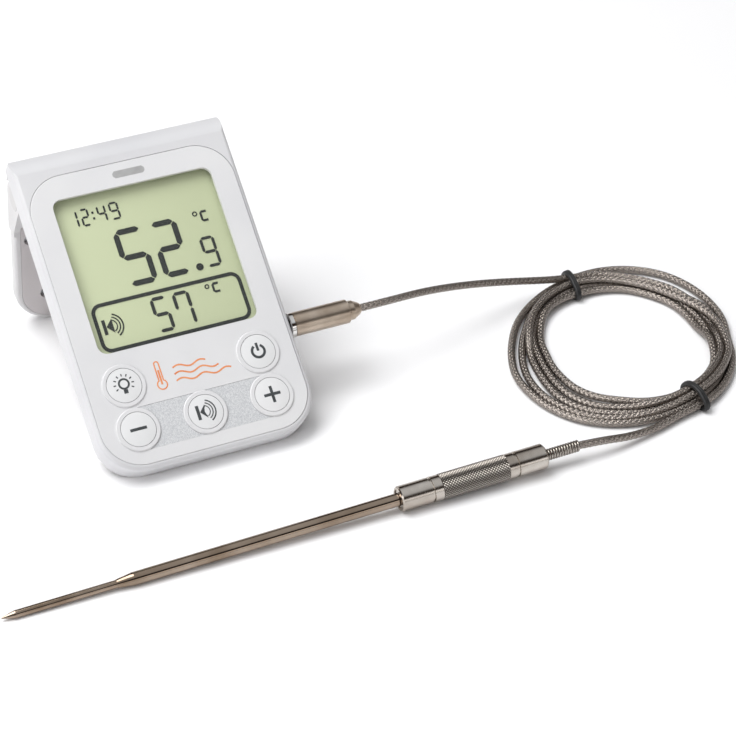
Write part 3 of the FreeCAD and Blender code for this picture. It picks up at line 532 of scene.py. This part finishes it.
# %% Roll the knurl round the handle
noted = add(t, "GeometryNodeStoreNamedAttribute",
            {"data_type": "FLOAT", "domain": "POINT", "Name": "pressed"},
            {"Geometry": band, "Value": pressed})
rolled_by = add(t, MATH, {"operation": "MULTIPLY", 1: 2 * math.pi}, {0: share_round})
ways = {}
for axis, operation in ((1, "COSINE"), (2, "SINE")):
    part = add(t, MATH, {"operation": operation}, {0: rolled_by})
    ways[axis] = add(t, MATH, {"operation": "MULTIPLY"}, {0: part, 1: radius})
back = add(t, MATH, {"operation": "MULTIPLY"}, {0: share, 1: given["Length"]})
ways[0] = add(t, MATH, {"operation": "ADD"}, {0: back, 1: given["Start"]})
spot = add(t, "ShaderNodeCombineXYZ", links=ways)
rolled = add(t, "GeometryNodeSetPosition", links={"Geometry": noted, "Position": spot})
joined = add(t, "GeometryNodeMergeByDistance", {"Distance": 0.001 * MM}, {"Geometry": rolled})
outward = add(t, "GeometryNodeFlipFaces", links={0: joined})
end_tree(t, outward, given["Finish"])
knurl = grown("handle_knurl", t, knurl_steel)
knurl.data.transform(laid)

# %% [markdown]
# ## The spring at the handle
# Where the lead leaves the handle, a closed spring keeps it from kinking. Its wire is a round
# section swept along a spiral, in the place that a plain sleeve holds in the frame.

# %% The spring tree
SPRING_SIZES = {"Turns": 13.0, "Length": (SPRING_END - HANDLE_LENGTH) * MM,
                "Coil radius": 1.4 * MM, "Wire radius": 0.42 * MM}
t, given = new_tree("closed_spring", SPRING_SIZES)
wire = add(t, "GeometryNodeCurveSpiral", {"Resolution": 20},
           {"Rotations": given["Turns"], "Start Radius": given["Coil radius"],
            "End Radius": given["Coil radius"], "Height": given["Length"]})
section = add(t, "GeometryNodeCurvePrimitiveCircle", {"Resolution": 10},
              {"Radius": given["Wire radius"]})
swept = add(t, "GeometryNodeCurveToMesh", {"Fill Caps": True},
            {"Curve": wire, "Profile Curve": section})
smooth = add(t, "GeometryNodeSetShadeSmooth", links={"Geometry": swept})
end_tree(t, smooth, given["Finish"])
spring = grown("kink_spring", t, spring_steel)
spring.data.transform(laid @ Matrix.Translation((HANDLE_LENGTH * MM, 0, 0))
                      @ Matrix.Rotation(math.radians(90), 4, "Y"))

# %% [markdown]
# ## Ribbons for the display and the printed signs
# A segment display makes its figures from short bars with pointed ends. Each printed sign on a
# key is ink on a gently domed cap. Both are made from one idea: a ribbon along a line, with a
# width at each point, laid on a surface whose height is a function. Drawing them as a texture
# would need a picture file; ribbons stay sharp at any distance.

# %% The face's own frame: x right, y up the face, z out of it
FACE_LEAN = 38.0
face_frame = (Matrix.Translation(Vector((0, -17.0, 6.0)) * MM)
              @ Matrix.Rotation(math.radians(FACE_LEAN), 4, "X"))
RIBBON_DEPTH = 0.1          # how far a ribbon reaches down under its top
print("the face leans back", FACE_LEAN, "degrees")


# %% A line cut into steps
def stepped(line, widths, step, closed):
    """Points about step apart along a line of (x, y), and the width at each."""
    corners = list(zip(line, widths))
    if closed:
        corners.append(corners[0])
    spots, spans = [], []
    for (a, wide_a), (b, wide_b) in zip(corners, corners[1:]):
        pieces = max(1, round(math.dist(a, b) / step))
        for i in range(pieces):
            spots.append([a[k] + (b[k] - a[k]) * i / pieces for k in (0, 1)])
            spans.append(wide_a + (wide_b - wide_a) * i / pieces)
    if not closed:
        spots.append(corners[-1][0])
        spans.append(corners[-1][1])
    return spots, spans


# %% A ribbon with a flat top and upright sides
def ribbon(work, line, widths, height, step=0.5, closed=False):
    """Adds a ribbon in mm along a line of (x, y), on the surface height(x, y)."""
    spots, spans = stepped(line, widths, step, closed)
    last = len(spots) - 1
    sections = []
    for i, (x, y) in enumerate(spots):
        before = spots[i - 1] if closed or i else spots[i]
        after = spots[(i + 1) % (last + 1)] if closed or i < last else spots[i]
        dx, dy = after[0] - before[0], after[1] - before[1]
        length = math.hypot(dx, dy) or 1.0
        nx, ny = -dy / length * spans[i] / 2, dx / length * spans[i] / 2
        section = []
        for px, py, drop in ((x + nx, y + ny, RIBBON_DEPTH), (x + nx, y + ny, 0),
                             (x - nx, y - ny, 0), (x - nx, y - ny, RIBBON_DEPTH)):
            section.append(work.verts.new((px * MM, py * MM, (height(px, py) - drop) * MM)))
        sections.append(section)
    following = sections[1:] + sections[:1] if closed else sections[1:]
    for near, far in zip(sections, following):
        for i in range(3):
            work.faces.new((near[i + 1], near[i], far[i], far[i + 1]))
        work.faces.new((near[0], near[3], far[3], far[0]))
    if not closed:
        work.faces.new(sections[0])
        work.faces.new(sections[-1][::-1])


def arc(centre, radius, begin, end, count=12):
    """Points of an arc from begin to end, in degrees."""
    angles = [math.radians(begin + (end - begin) * i / count) for i in range(count + 1)]
    return [(centre[0] + radius * math.cos(a), centre[1] + radius * math.sin(a)) for a in angles]


# %% A printed piece laid on the face
def printed(name, draw, finish, body):
    """A printed piece: draw fills a mesh in the face's frame, and it is laid on the face."""
    work = bmesh.new()
    draw(work)
    bmesh.ops.recalc_face_normals(work, faces=work.faces)
    work.transform(face_frame)
    mesh = bpy.data.meshes.new(name)
    work.to_mesh(mesh)
    work.free()
    mesh.materials.append(finish)
    piece = bpy.data.objects.new(name, mesh)
    scene.collection.objects.link(piece)
    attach(piece, body)
    print(name, "faces", len(mesh.polygons))


# %% [markdown]
# ## The display's segments
# A liquid crystal display darkens fixed shapes behind its glass. Each figure is up to seven
# bars with pointed ends and hair gaps between them, so a table of dark bars and a box for each
# figure draw them all.

# %% One figure of seven bars
SEGMENT_TOP = -2.82         # height of the dark segments, just over the display panel
# For each figure, which bars are dark: top, upper left, upper right, middle, lower left,
# lower right, bottom.
BARS = {"1": "0010010", "2": "1011101", "4": "0111010", "5": "1101011", "7": "1110010",
        "9": "1111011"}


def on_panel(x, y):
    return SEGMENT_TOP


def figure(work, sign, left, low, right, high, stroke):
    """One figure of seven bars, inside a box in mm."""
    half = stroke / 2
    x0, x1 = left + half, right - half
    y0, y1 = low + half, high - half
    middle = (low + high) / 2
    gap = 0.12 * stroke + 0.05
    bars = [((x0, y1), (x1, y1)), ((x0, middle), (x0, y1)), ((x1, middle), (x1, y1)),
            ((x0, middle), (x1, middle)), ((x0, y0), (x0, middle)), ((x1, y0), (x1, middle)),
            ((x0, y0), (x1, y0))]
    for (a, b) in [bar for dark, bar in zip(BARS[sign], bars) if dark == "1"]:
        long_side = math.dist(a, b)
        shares = [gap / long_side, (gap + half) / long_side]
        shares += [1 - share for share in shares[::-1]]
        line = [(a[0] + (b[0] - a[0]) * s, a[1] + (b[1] - a[1]) * s) for s in shares]
        ribbon(work, line, [0.15 * stroke, stroke, stroke, 0.15 * stroke], on_panel, step=50)


print("figures known:", " ".join(BARS))


# %% Other shapes of the display
def rounded_box(x0, y0, x1, y1, r):
    """Points round a box with rounded corners."""
    corners = ((x1 - r, y1 - r), (x0 + r, y1 - r), (x0 + r, y0 + r), (x1 - r, y0 + r))
    return [p for i, corner in enumerate(corners)
            for p in arc(corner, r, 90 * i, 90 * i + 90, 6)]


def letter_c(work, x0, y0, x1, y1, stroke):
    """The C after a temperature, with cut corners."""
    half = stroke / 2
    line = [(x1 - 0.1, y1 - half), (x0 + stroke, y1 - half), (x0 + half, y1 - stroke),
            (x0 + half, y0 + stroke), (x0 + stroke, y0 + half), (x1 - 0.1, y0 + half)]
    ribbon(work, line, [stroke] * len(line), on_panel, step=50)


def sound_sign(work, x, y, size, height, step=0.5):
    """A loudspeaker with three sound arcs: a bar, a cone and the arcs."""
    ribbon(work, [(x - 2.4 * size, y - 2.3 * size), (x - 2.4 * size, y + 2.3 * size)],
           [size] * 2, height, step=step)
    ribbon(work, [(x - 1.75 * size, y), (x + 0.2 * size, y)], [0.2 * size, 4.4 * size],
           height, step=step)
    for radius, stroke in ((1.9, 0.3), (2.8, 0.35), (3.7, 0.42)):
        line = arc((x - 0.5 * size, y), radius * size, -62, 70)
        ribbon(work, line, [stroke * size] * len(line), height, step=step)


print("a rounded box has", len(rounded_box(0, 0, 9, 9, 1)), "points")

# %% The whole display, in mm on the face
# Each figure: its sign, its box (left, low, right, high) and its stroke.
FIGURES = [
    ("5", (-9.6, 56.4, -0.2, 75.0), 1.75), ("2", (1.9, 56.5, 10.7, 74.8), 1.75),
    ("9", (15.8, 56.7, 20.5, 66.6), 0.9),
    ("1", (-21.2, 78.4, -18.3, 84.1), 0.6), ("2", (-17.4, 78.4, -14.7, 84.1), 0.6),
    ("4", (-12.1, 78.4, -9.3, 84.1), 0.6), ("9", (-8.2, 78.4, -5.2, 84.1), 0.6),
    ("5", (-5.1, 40.3, 0.2, 51.6), 1.05), ("7", (2.0, 40.3, 7.4, 51.6), 1.05),
]
# Each small ring: its centre, the radius of its line and its stroke.
RINGS = [((13.4, 57.6), 0.6, 1.2), ((17.1, 74.4), 0.66, 0.35), ((13.5, 51.0), 0.6, 0.35)]


def draw_display(work):
    for sign, box, stroke in FIGURES:
        figure(work, sign, *box, stroke)
    for centre, radius, stroke in RINGS:
        ribbon(work, arc(centre, radius, 0, 330, 11), [stroke] * 12, on_panel, closed=True)
    for y in (80.3, 82.2):      # the clock's colon
        ribbon(work, [(-13.8, y), (-13.15, y)], [0.7, 0.7], on_panel)
    letter_c(work, 18.6, 71.4, 20.9, 75.0, 0.7)
    letter_c(work, 15.0, 48.5, 17.3, 51.8, 0.7)
    frame_line = rounded_box(-22.9, 38.6, 24.0, 53.2, 2.6)
    ribbon(work, frame_line, [1.15] * len(frame_line), on_panel, closed=True)
    sound_sign(work, -18.3, 46.1, 1.03, on_panel)


# A darkened liquid crystal is nearly black with a cool cast, and half glossy behind its film.
segment_dark, tree, shader, place = start("darkened_liquid_crystal", "#15181a", 0.35)
tree.links.new(drifting(tree, place, 6.0, "#121517", "#1e2224"), shader.inputs["Base Color"])
printed("display_segments", draw_display, segment_dark, "housing")

# %% [markdown]
# ## The signs on the keys
# Pad printing lays a thin film of grey ink on each domed key. Each sign rides with its own
# key, so that it goes down with it. The ribbons follow the dome a hair above it.

# %% The domed keys
CROWN_TOP, CROWN_RADIUS = 0.75, 40.3
INK_ABOVE = 0.03
KEYS = {"light": (-21.4, 26.5), "power": (21.4, 26.5), "minus": (-21.3, 12.5),
        "alarm": (0.0, 12.5), "plus": (21.3, 12.5)}


def crown(cx, cy):
    """The height of the ink on the key centred at (cx, cy)."""
    def height(x, y):
        off = (x - cx) ** 2 + (y - cy) ** 2
        return CROWN_TOP - CROWN_RADIUS + math.sqrt(CROWN_RADIUS ** 2 - off) + INK_ABOVE
    return height


print("keys:", " ".join(KEYS))


# %% Each key's sign
def minus_sign(work, cx, cy, on_key):
    ribbon(work, [(cx - 2.6, cy), (cx + 2.6, cy)], [0.92] * 2, on_key)


def plus_sign(work, cx, cy, on_key):
    minus_sign(work, cx, cy, on_key)
    for way in (1, -1):
        ribbon(work, [(cx, cy + 0.46 * way), (cx, cy + 2.6 * way)], [0.92] * 2, on_key)


def power_sign(work, cx, cy, on_key):
    ribbon(work, arc((cx, cy), 1.95, 120, 420, 24), [0.8] * 25, on_key, step=0.4)
    ribbon(work, [(cx, cy + 0.1), (cx, cy + 2.7)], [0.8] * 2, on_key)


def light_sign(work, cx, cy, on_key):
    bulb = (cx, cy + 0.4)
    ribbon(work, arc(bulb, 1.5, 0, 345, 23), [0.6] * 24, on_key, step=0.4, closed=True)
    ribbon(work, [(cx, cy - 1.4), (cx, cy - 2.6)], [1.3] * 2, on_key)
    for ray in range(-30, 211, 30):
        ribbon(work, [arc(bulb, r, ray, ray, 1)[0] for r in (2.4, 3.2)], [0.36] * 2, on_key)


def alarm_sign(work, cx, cy, on_key):
    sound_sign(work, cx - 0.1, cy + 0.1, 0.97, on_key, step=0.4)


SIGNS = {"light": light_sign, "power": power_sign, "minus": minus_sign, "alarm": alarm_sign,
         "plus": plus_sign}
print("signs:", " ".join(SIGNS))

# %% Print the signs
# Pad ink dries to a dark grey film, a little glossy.
key_ink, tree, shader, place = start("pad_printed_grey_ink", "#3a3d40", 0.42)
tree.links.new(drifting(tree, place, 2.0, "#343739", "#43474a"), shader.inputs["Base Color"])
for key_name, (key_x, key_y) in KEYS.items():
    def draw_sign(work):
        SIGNS[key_name](work, key_x, key_y, crown(key_x, key_y))
    printed("sign_" + key_name, draw_sign, key_ink, key_name + "_key")

# %% [markdown]
# ## Two plain marks
# A maker prints a name over the display and a picture under it. This part carries neutral
# ones in their place: a grey bar with rounded ends, and a small line drawing of a probe
# thermometer with steam, in orange.

# %% The neutral marks
def on_plate(x, y):
    return INK_ABOVE


def draw_bar(work):
    ribbon(work, [(-4.6, 91.4), (-3.9, 91.4), (4.9, 91.4), (5.6, 91.4)], [0.9, 2.3, 2.3, 0.9],
           on_plate)


def draw_thermometer(work):
    """A bulb with a tube, a column in it, and three lines of steam."""
    outline = [(-10.7, 30.6)] + arc((-10.0, 24.0), 1.5, 118, 422, 16) + [(-9.3, 30.6)]
    ribbon(work, outline, [0.42] * len(outline), on_plate)
    ribbon(work, arc((-10.0, 30.6), 0.7, 0, 180, 6), [0.42] * 7, on_plate, step=0.3)
    ribbon(work, [(-10.0, 24.0), (-10.0, 28.6)], [0.6] * 2, on_plate)
    for row in range(3):
        low = 24.0 + 2.1 * row
        steam = [(-5.5 + 0.7 * i, low + 0.55 * math.sin(0.62 * i)) for i in range(26 - 5 * row)]
        ribbon(work, steam, [0.5] * len(steam), on_plate, step=0.4)


print("marks stand", INK_ABOVE, "mm over the face plate")

# %% Print the marks
# Screen-printed inks lie flat and even on the glossy plate.
mark_grey, tree, shader, place = start("screen_printed_grey_ink", "#a2a2a2", 0.45)
tree.links.new(drifting(tree, place, 3.0, "#9c9c9c", "#aaaaaa"), shader.inputs["Base Color"])
mark_orange, tree, shader, place = start("screen_printed_orange_ink", "#dc8a55", 0.45)
tree.links.new(drifting(tree, place, 3.0, "#d9804a", "#e39866"), shader.inputs["Base Color"])
printed("neutral_bar", draw_bar, mark_grey, "housing")
printed("neutral_drawing", draw_thermometer, mark_orange, "housing")

# %% [markdown]
# ## Finishes of the moulded parts
# The shells are ABS, a plastic that takes the mould's skin exactly: the front is fine and
# satin, the rear has a spark-eroded texture that hides scratches. The keys and the face plate
# come from polished moulds. One function makes them all, because they differ only in colour,
# gloss and the size and depth of the grain.

# %% Moulded plastics
def moulded(name, colour, low, high, roughness, grain_mm, depth_mm):
    """A moulded plastic: its colour drifts a little and its skin has the mould's fine grain."""
    made, tree, shader, place = start(name, colour, roughness)
    tree.links.new(drifting(tree, place, 25.0, low, high), shader.inputs["Base Color"])
    skin = add(tree, "ShaderNodeTexNoise", {"Scale": 1 / (grain_mm * MM), "Detail": 3.0},
               {"Vector": place}).outputs["Fac"]
    bump = add(tree, "ShaderNodeBump", {"Strength": 0.5, "Distance": depth_mm * MM},
               {"Height": skin})
    tree.links.new(bump.outputs["Normal"], shader.inputs["Normal"])
    return made


def dress(finish, *names):
    """Puts one finish on CAD nodes."""
    for name in names:
        mesh = nodes[name].data
        mesh.materials.clear()
        mesh.materials.append(finish)
    print(finish.name, "on", ", ".join(names))


# %% Dress the white shells, the plate and the keys
# Satin ABS spreads the light softly; the eroded rear is duller still.
dress(moulded("satin_moulded_abs", "#cfcfd1", "#cccccf", "#d3d3d5", 0.33, 0.5, 0.01),
      "front_housing")
dress(moulded("spark_textured_abs", "#cccbcb", "#c8c7c7", "#d0cfcf", 0.55, 0.35, 0.06),
      "rear_housing", "battery_cover", "hinge_caps")
dress(moulded("fine_textured_abs", "#d3d2d3", "#cfcecf", "#d7d6d7", 0.5, 0.35, 0.05), "stand")
# Polished moulds give the plate a soft gloss, and the keys a wet one.
dress(moulded("polished_moulded_abs", "#d8d8d9", "#d5d5d7", "#dbdbdc", 0.25, 0.6, 0.004),
      "face_plate")
dress(moulded("high_gloss_abs", "#dddedf", "#dadbdc", "#e1e1e2", 0.16, 0.6, 0.003),
      "light_button", "power_button", "minus_button", "alarm_button", "plus_button")

# %% Dress the plastics and rubbers inside and behind
# Parts nobody sees are matt, as they leave the mould.
dress(moulded("plain_moulded_abs", "#d8d8d6", "#d2d2d0", "#dededc", 0.6, 0.5, 0.03), "lcd_frame")
dress(moulded("black_moulded_nylon", "#191a1b", "#151617", "#222324", 0.42, 0.3, 0.02),
      "lcd_connector_strip", "processor", "buzzer", "probe_socket", "plug_insulator")
# The liner is grippy rubber, warm grey; the keypad mat is soft translucent silicone.
dress(moulded("moulded_grey_rubber", "#c9c4c5", "#c3bebf", "#cfcacb", 0.7, 0.4, 0.05),
      "stand_liner")
dress(moulded("moulded_keypad_silicone", "#cfd1d0", "#c8cac9", "#d6d8d7", 0.55, 0.4, 0.02),
      "keypad_mat")
# The light guide is frosted acrylic, and the lamp is cast yellow epoxy.
dress(moulded("frosted_acrylic", "#e4ebe0", "#dfe6db", "#e9f0e5", 0.4, 0.3, 0.02), "light_guide")
dress(moulded("cast_yellow_epoxy", "#e9d67a", "#e2cd6c", "#efde8b", 0.3, 0.4, 0.01),
      "backlight_lamp")

# %% Dress the electrical parts
# Green solder mask over glass fibre shows a faint cloudiness; cells wear a shrunk grey film.
dress(moulded("green_solder_mask", "#2d6b45", "#275f3c", "#35784e", 0.45, 1.5, 0.02),
      "circuit_board")
dress(moulded("shrunk_cell_film", "#50565c", "#484e54", "#5a6066", 0.35, 2.0, 0.01), "batteries")
# The sensor is a dipped bead of dark epoxy, on wires with an extruded red jacket.
dress(moulded("dipped_dark_epoxy", "#2b2622", "#24201c", "#352f2a", 0.4, 0.4, 0.03),
      "temperature_sensor")
dress(moulded("extruded_red_jacket", "#b04a3c", "#a34235", "#bb5546", 0.45, 0.4, 0.01),
      "sensor_wires")

# %% [markdown]
# ## The silver band
# The band between the lower keys is lacquered with aluminium flakes, which sparkle in the
# light. Small cells of slightly different greys, each tilted its own way, give that sparkle.

# %% Flake lacquer
FLAKE = 0.22                # mm, coarser than the real flakes so that they show
band_lacquer, tree, shader, place = start("aluminium_flake_lacquer", "#d3d5d8", 0.38, 0.25)
flakes = add(tree, "ShaderNodeTexVoronoi", {"Scale": 1 / (FLAKE * MM)}, {"Vector": place})
tint = add(tree, "ShaderNodeValToRGB", links={"Fac": flakes.outputs["Color"]})
tint.color_ramp.elements[0].color = srgb("#b9bbbf")
tint.color_ramp.elements[1].color = srgb("#e6e7e8")
tree.links.new(tint.outputs["Color"], shader.inputs["Base Color"])
bump = add(tree, "ShaderNodeBump", {"Strength": 0.35, "Distance": 0.02 * MM},
           {"Height": flakes.outputs["Distance"]})
tree.links.new(bump.outputs["Normal"], shader.inputs["Normal"])
dress(band_lacquer, "control_band")

# %% [markdown]
# ## The display's window and panel
# A clear acrylic window covers a pale green reflective panel, lighter at its upper left, where
# it catches the room. The window is nearly all transparent, so that the segments stay dark.

# %% Window and panel
# Clear acrylic: a mirror-like skin with faint smears, about 16 mm across.
window_clear, tree, shader, place = start("clear_moulded_acrylic", "#7d837a", 0.06, Alpha=0.06)
smears = add(tree, "ShaderNodeTexNoise", {"Scale": 0.06 / MM, "Detail": 2.0}, {"Vector": place})
dulled = add(tree, "ShaderNodeMapRange", {"To Min": 0.04, "To Max": 0.1},
             {"Value": smears.outputs["Fac"]})
tree.links.new(dulled.outputs["Result"], shader.inputs["Roughness"])
dress(window_clear, "display_window")

# Reflective display film: matt, yellow-green, with painted light fading towards its lower right.
lcd_green, tree, shader, place = start("reflective_display_film", "#cdd6ae", 0.5)
centred = add(tree, "ShaderNodeMapping",
              {"Location": (0.5, 0.0, -0.1), "Scale": (10.0, 8.0, -4.0)}, {"Vector": place})
fade = add(tree, "ShaderNodeTexGradient", links={"Vector": centred})
painted_light_fade = add(tree, "ShaderNodeValToRGB", links={"Fac": fade.outputs["Fac"]})
painted_light_fade.color_ramp.elements[0].color = srgb("#dde6be")
painted_light_fade.color_ramp.elements[1].color = srgb("#c0c8a2")
tree.links.new(painted_light_fade.outputs["Color"], shader.inputs["Base Color"])
dress(lcd_green, "lcd_panel")

# %% [markdown]
# ## The plug and the small metal parts
# The plug has a bright chromed pin and rim, and a satin nickel sleeve with a warm tone. Screws
# and pins are zinc plated, contacts and magnets nickel plated.

# %% Plated metals
# Chrome mirrors nearly everything; satin nickel is brushed before plating, which spreads its
# highlight; zinc is a mottled grey; nickel is yellower and smoother than zinc.
PLATED = {
    "chrome_plate": ("#d9d7d4", 0.08, 4.0, "#cfccc8", "#e2e1df"),
    "satin_nickel_plate": ("#b3a494", 0.32, 5.0, "#a89888", "#bfb1a2"),
    "zinc_plate": ("#a9abad", 0.35, 1.5, "#989b9e", "#bbbdbf"),
    "nickel_plate": ("#b8b3a8", 0.25, 2.0, "#aaa498", "#c6c2b8"),
}
plated = {}
for name, (colour, roughness, patch_mm, low, high) in PLATED.items():
    plated[name], tree, shader, place = start(name, colour, roughness, 1.0)
    tree.links.new(drifting(tree, place, patch_mm, low, high), shader.inputs["Base Color"])
    if name == "satin_nickel_plate":
        brushed = add(tree, "ShaderNodeTexNoise", {"Scale": 2.5 / MM}, {"Vector": place})
        bump = add(tree, "ShaderNodeBump", {"Strength": 0.3, "Distance": 0.01 * MM},
                   {"Height": brushed.outputs["Fac"]})
        tree.links.new(bump.outputs["Normal"], shader.inputs["Normal"])
dress(plated["chrome_plate"], "plug_tip", "plug_shank", "plug_collar")
dress(plated["satin_nickel_plate"], "plug_sleeve", "plug_cone")
dress(plated["zinc_plate"], "housing_screws", "stand_screws", "hinge_pins")
dress(plated["nickel_plate"], "contact_plates", "contact_springs", "stand_magnets")
dress(needle_steel, "needle_tube", "probe_shaft")
dress(turned_steel, "probe_handle", "handle_bush", "handle_end_plug")

# %% [markdown]
# ## Riding and replacing
# The lead, its ties, the knurl and the spring all move with the plug and the probe, as one
# body. The made lead, ties and spring stand for CAD's plain solids; the knurl only adds to
# the handle.

# %% Tie the new pieces to the frame
for piece, slot_name in ((lead, "braid_steel"), (braids[0], "braid_steel"),
                         (braids[1], "braid_steel"), (ties[0], "black_rubber"),
                         (ties[1], "black_rubber"), (knurl, "handle_steel"),
                         (spring, "handle_steel")):
    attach(piece, "probe_and_lead")
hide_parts("lead_to_plug", "lead_to_probe", "lead_coil")
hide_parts("coil_tie_back")
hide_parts("coil_tie_front")
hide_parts("cable_spring")

# %% [markdown]
# ## Floor and light
# The object stands on a plain pale floor under soft studio light: a large softbox from above
# and left, a low strip in front for the metal's lower band, and a bright surrounding. Polished
# steel shows what is round it, so the surrounding has a dark band with a warm tone.

# %% Floor
FLOOR_HALF = 6.0
floor_mesh = bpy.data.meshes.new("studio_floor")
floor_mesh.from_pydata([(-FLOOR_HALF, -FLOOR_HALF, 0), (FLOOR_HALF, -FLOOR_HALF, 0),
                        (FLOOR_HALF, FLOOR_HALF, 0), (-FLOOR_HALF, FLOOR_HALF, 0)],
                       [], [(0, 1, 2, 3)])
floor = bpy.data.objects.new("studio_floor", floor_mesh)
scene.collection.objects.link(floor)
# Matt studio paint, rolled on, with the faintest change of tone in patches of about 400 mm.
floor_paint, tree, shader, place = start("rolled_studio_paint", "#fbfbfb", 0.7)
tree.links.new(drifting(tree, place, 400.0, "#fafafb", "#fdfdfe"), shader.inputs["Base Color"])
floor_mesh.materials.append(floor_paint)
print("floor is", 2 * FLOOR_HALF, "m wide")

# %% Lights
# Each softbox: its place, what it faces, its (width, height) in metres and its watts.
SOFTBOXES = {
    "overhead_softbox": ((-0.45, 0.25, 1.3), (0.03, 0, 0), (1.1, 0.9), 17.0),
    "left_softbox": ((-1.2, -0.5, 0.7), (0, 0, 0.03), (0.7, 0.9), 6.0),
    "front_strip": ((0.2, -1.2, 0.35), (0.05, -0.03, 0.02), (1.4, 0.25), 1.2),
}
for name, (stand_at, target, size, watts) in SOFTBOXES.items():
    data = bpy.data.lights.new(name, "AREA")
    data.shape = "RECTANGLE"
    data.size, data.size_y = size
    data.energy = watts
    lamp = bpy.data.objects.new(name, data)
    scene.collection.objects.link(lamp)
    lamp.location = stand_at
    lamp.rotation_euler = (Vector(target) - Vector(stand_at)).to_track_quat("-Z", "Y").to_euler()
    print(name, watts, "W")

# %% The surrounding
# From the horizon to straight up: bright walls, a dark band with a warm tone, a white ceiling.
SURROUND = [(0.05, "#ffffff"), (1.0, "#f4f6f8"), (0.24, "#c9c1bb"), (0.34, "#2c231e"),
            (0.66, "#3a2f28"), (0.8, "#e8eaec")]
world = bpy.data.worlds.new("studio_surround")
scene.world = world
world.use_nodes = True
tree = world.node_tree
background = tree.nodes["Background"]
looking = add(tree, "ShaderNodeTexCoord").outputs["Generated"]
up = add(tree, "ShaderNodeSeparateXYZ", links={0: looking}).outputs["Z"]
room = add(tree, "ShaderNodeValToRGB", links={"Fac": up})
for i, (share, shade) in enumerate(SURROUND):
    stop = room.color_ramp.elements[i] if i < 2 else room.color_ramp.elements.new(share)
    stop.position, stop.color = share, srgb(shade)
tree.links.new(room.outputs["Color"], background.inputs["Color"])
background.inputs["Strength"].default_value = 0.8
print("surrounding has", len(room.color_ramp.elements), "stops")
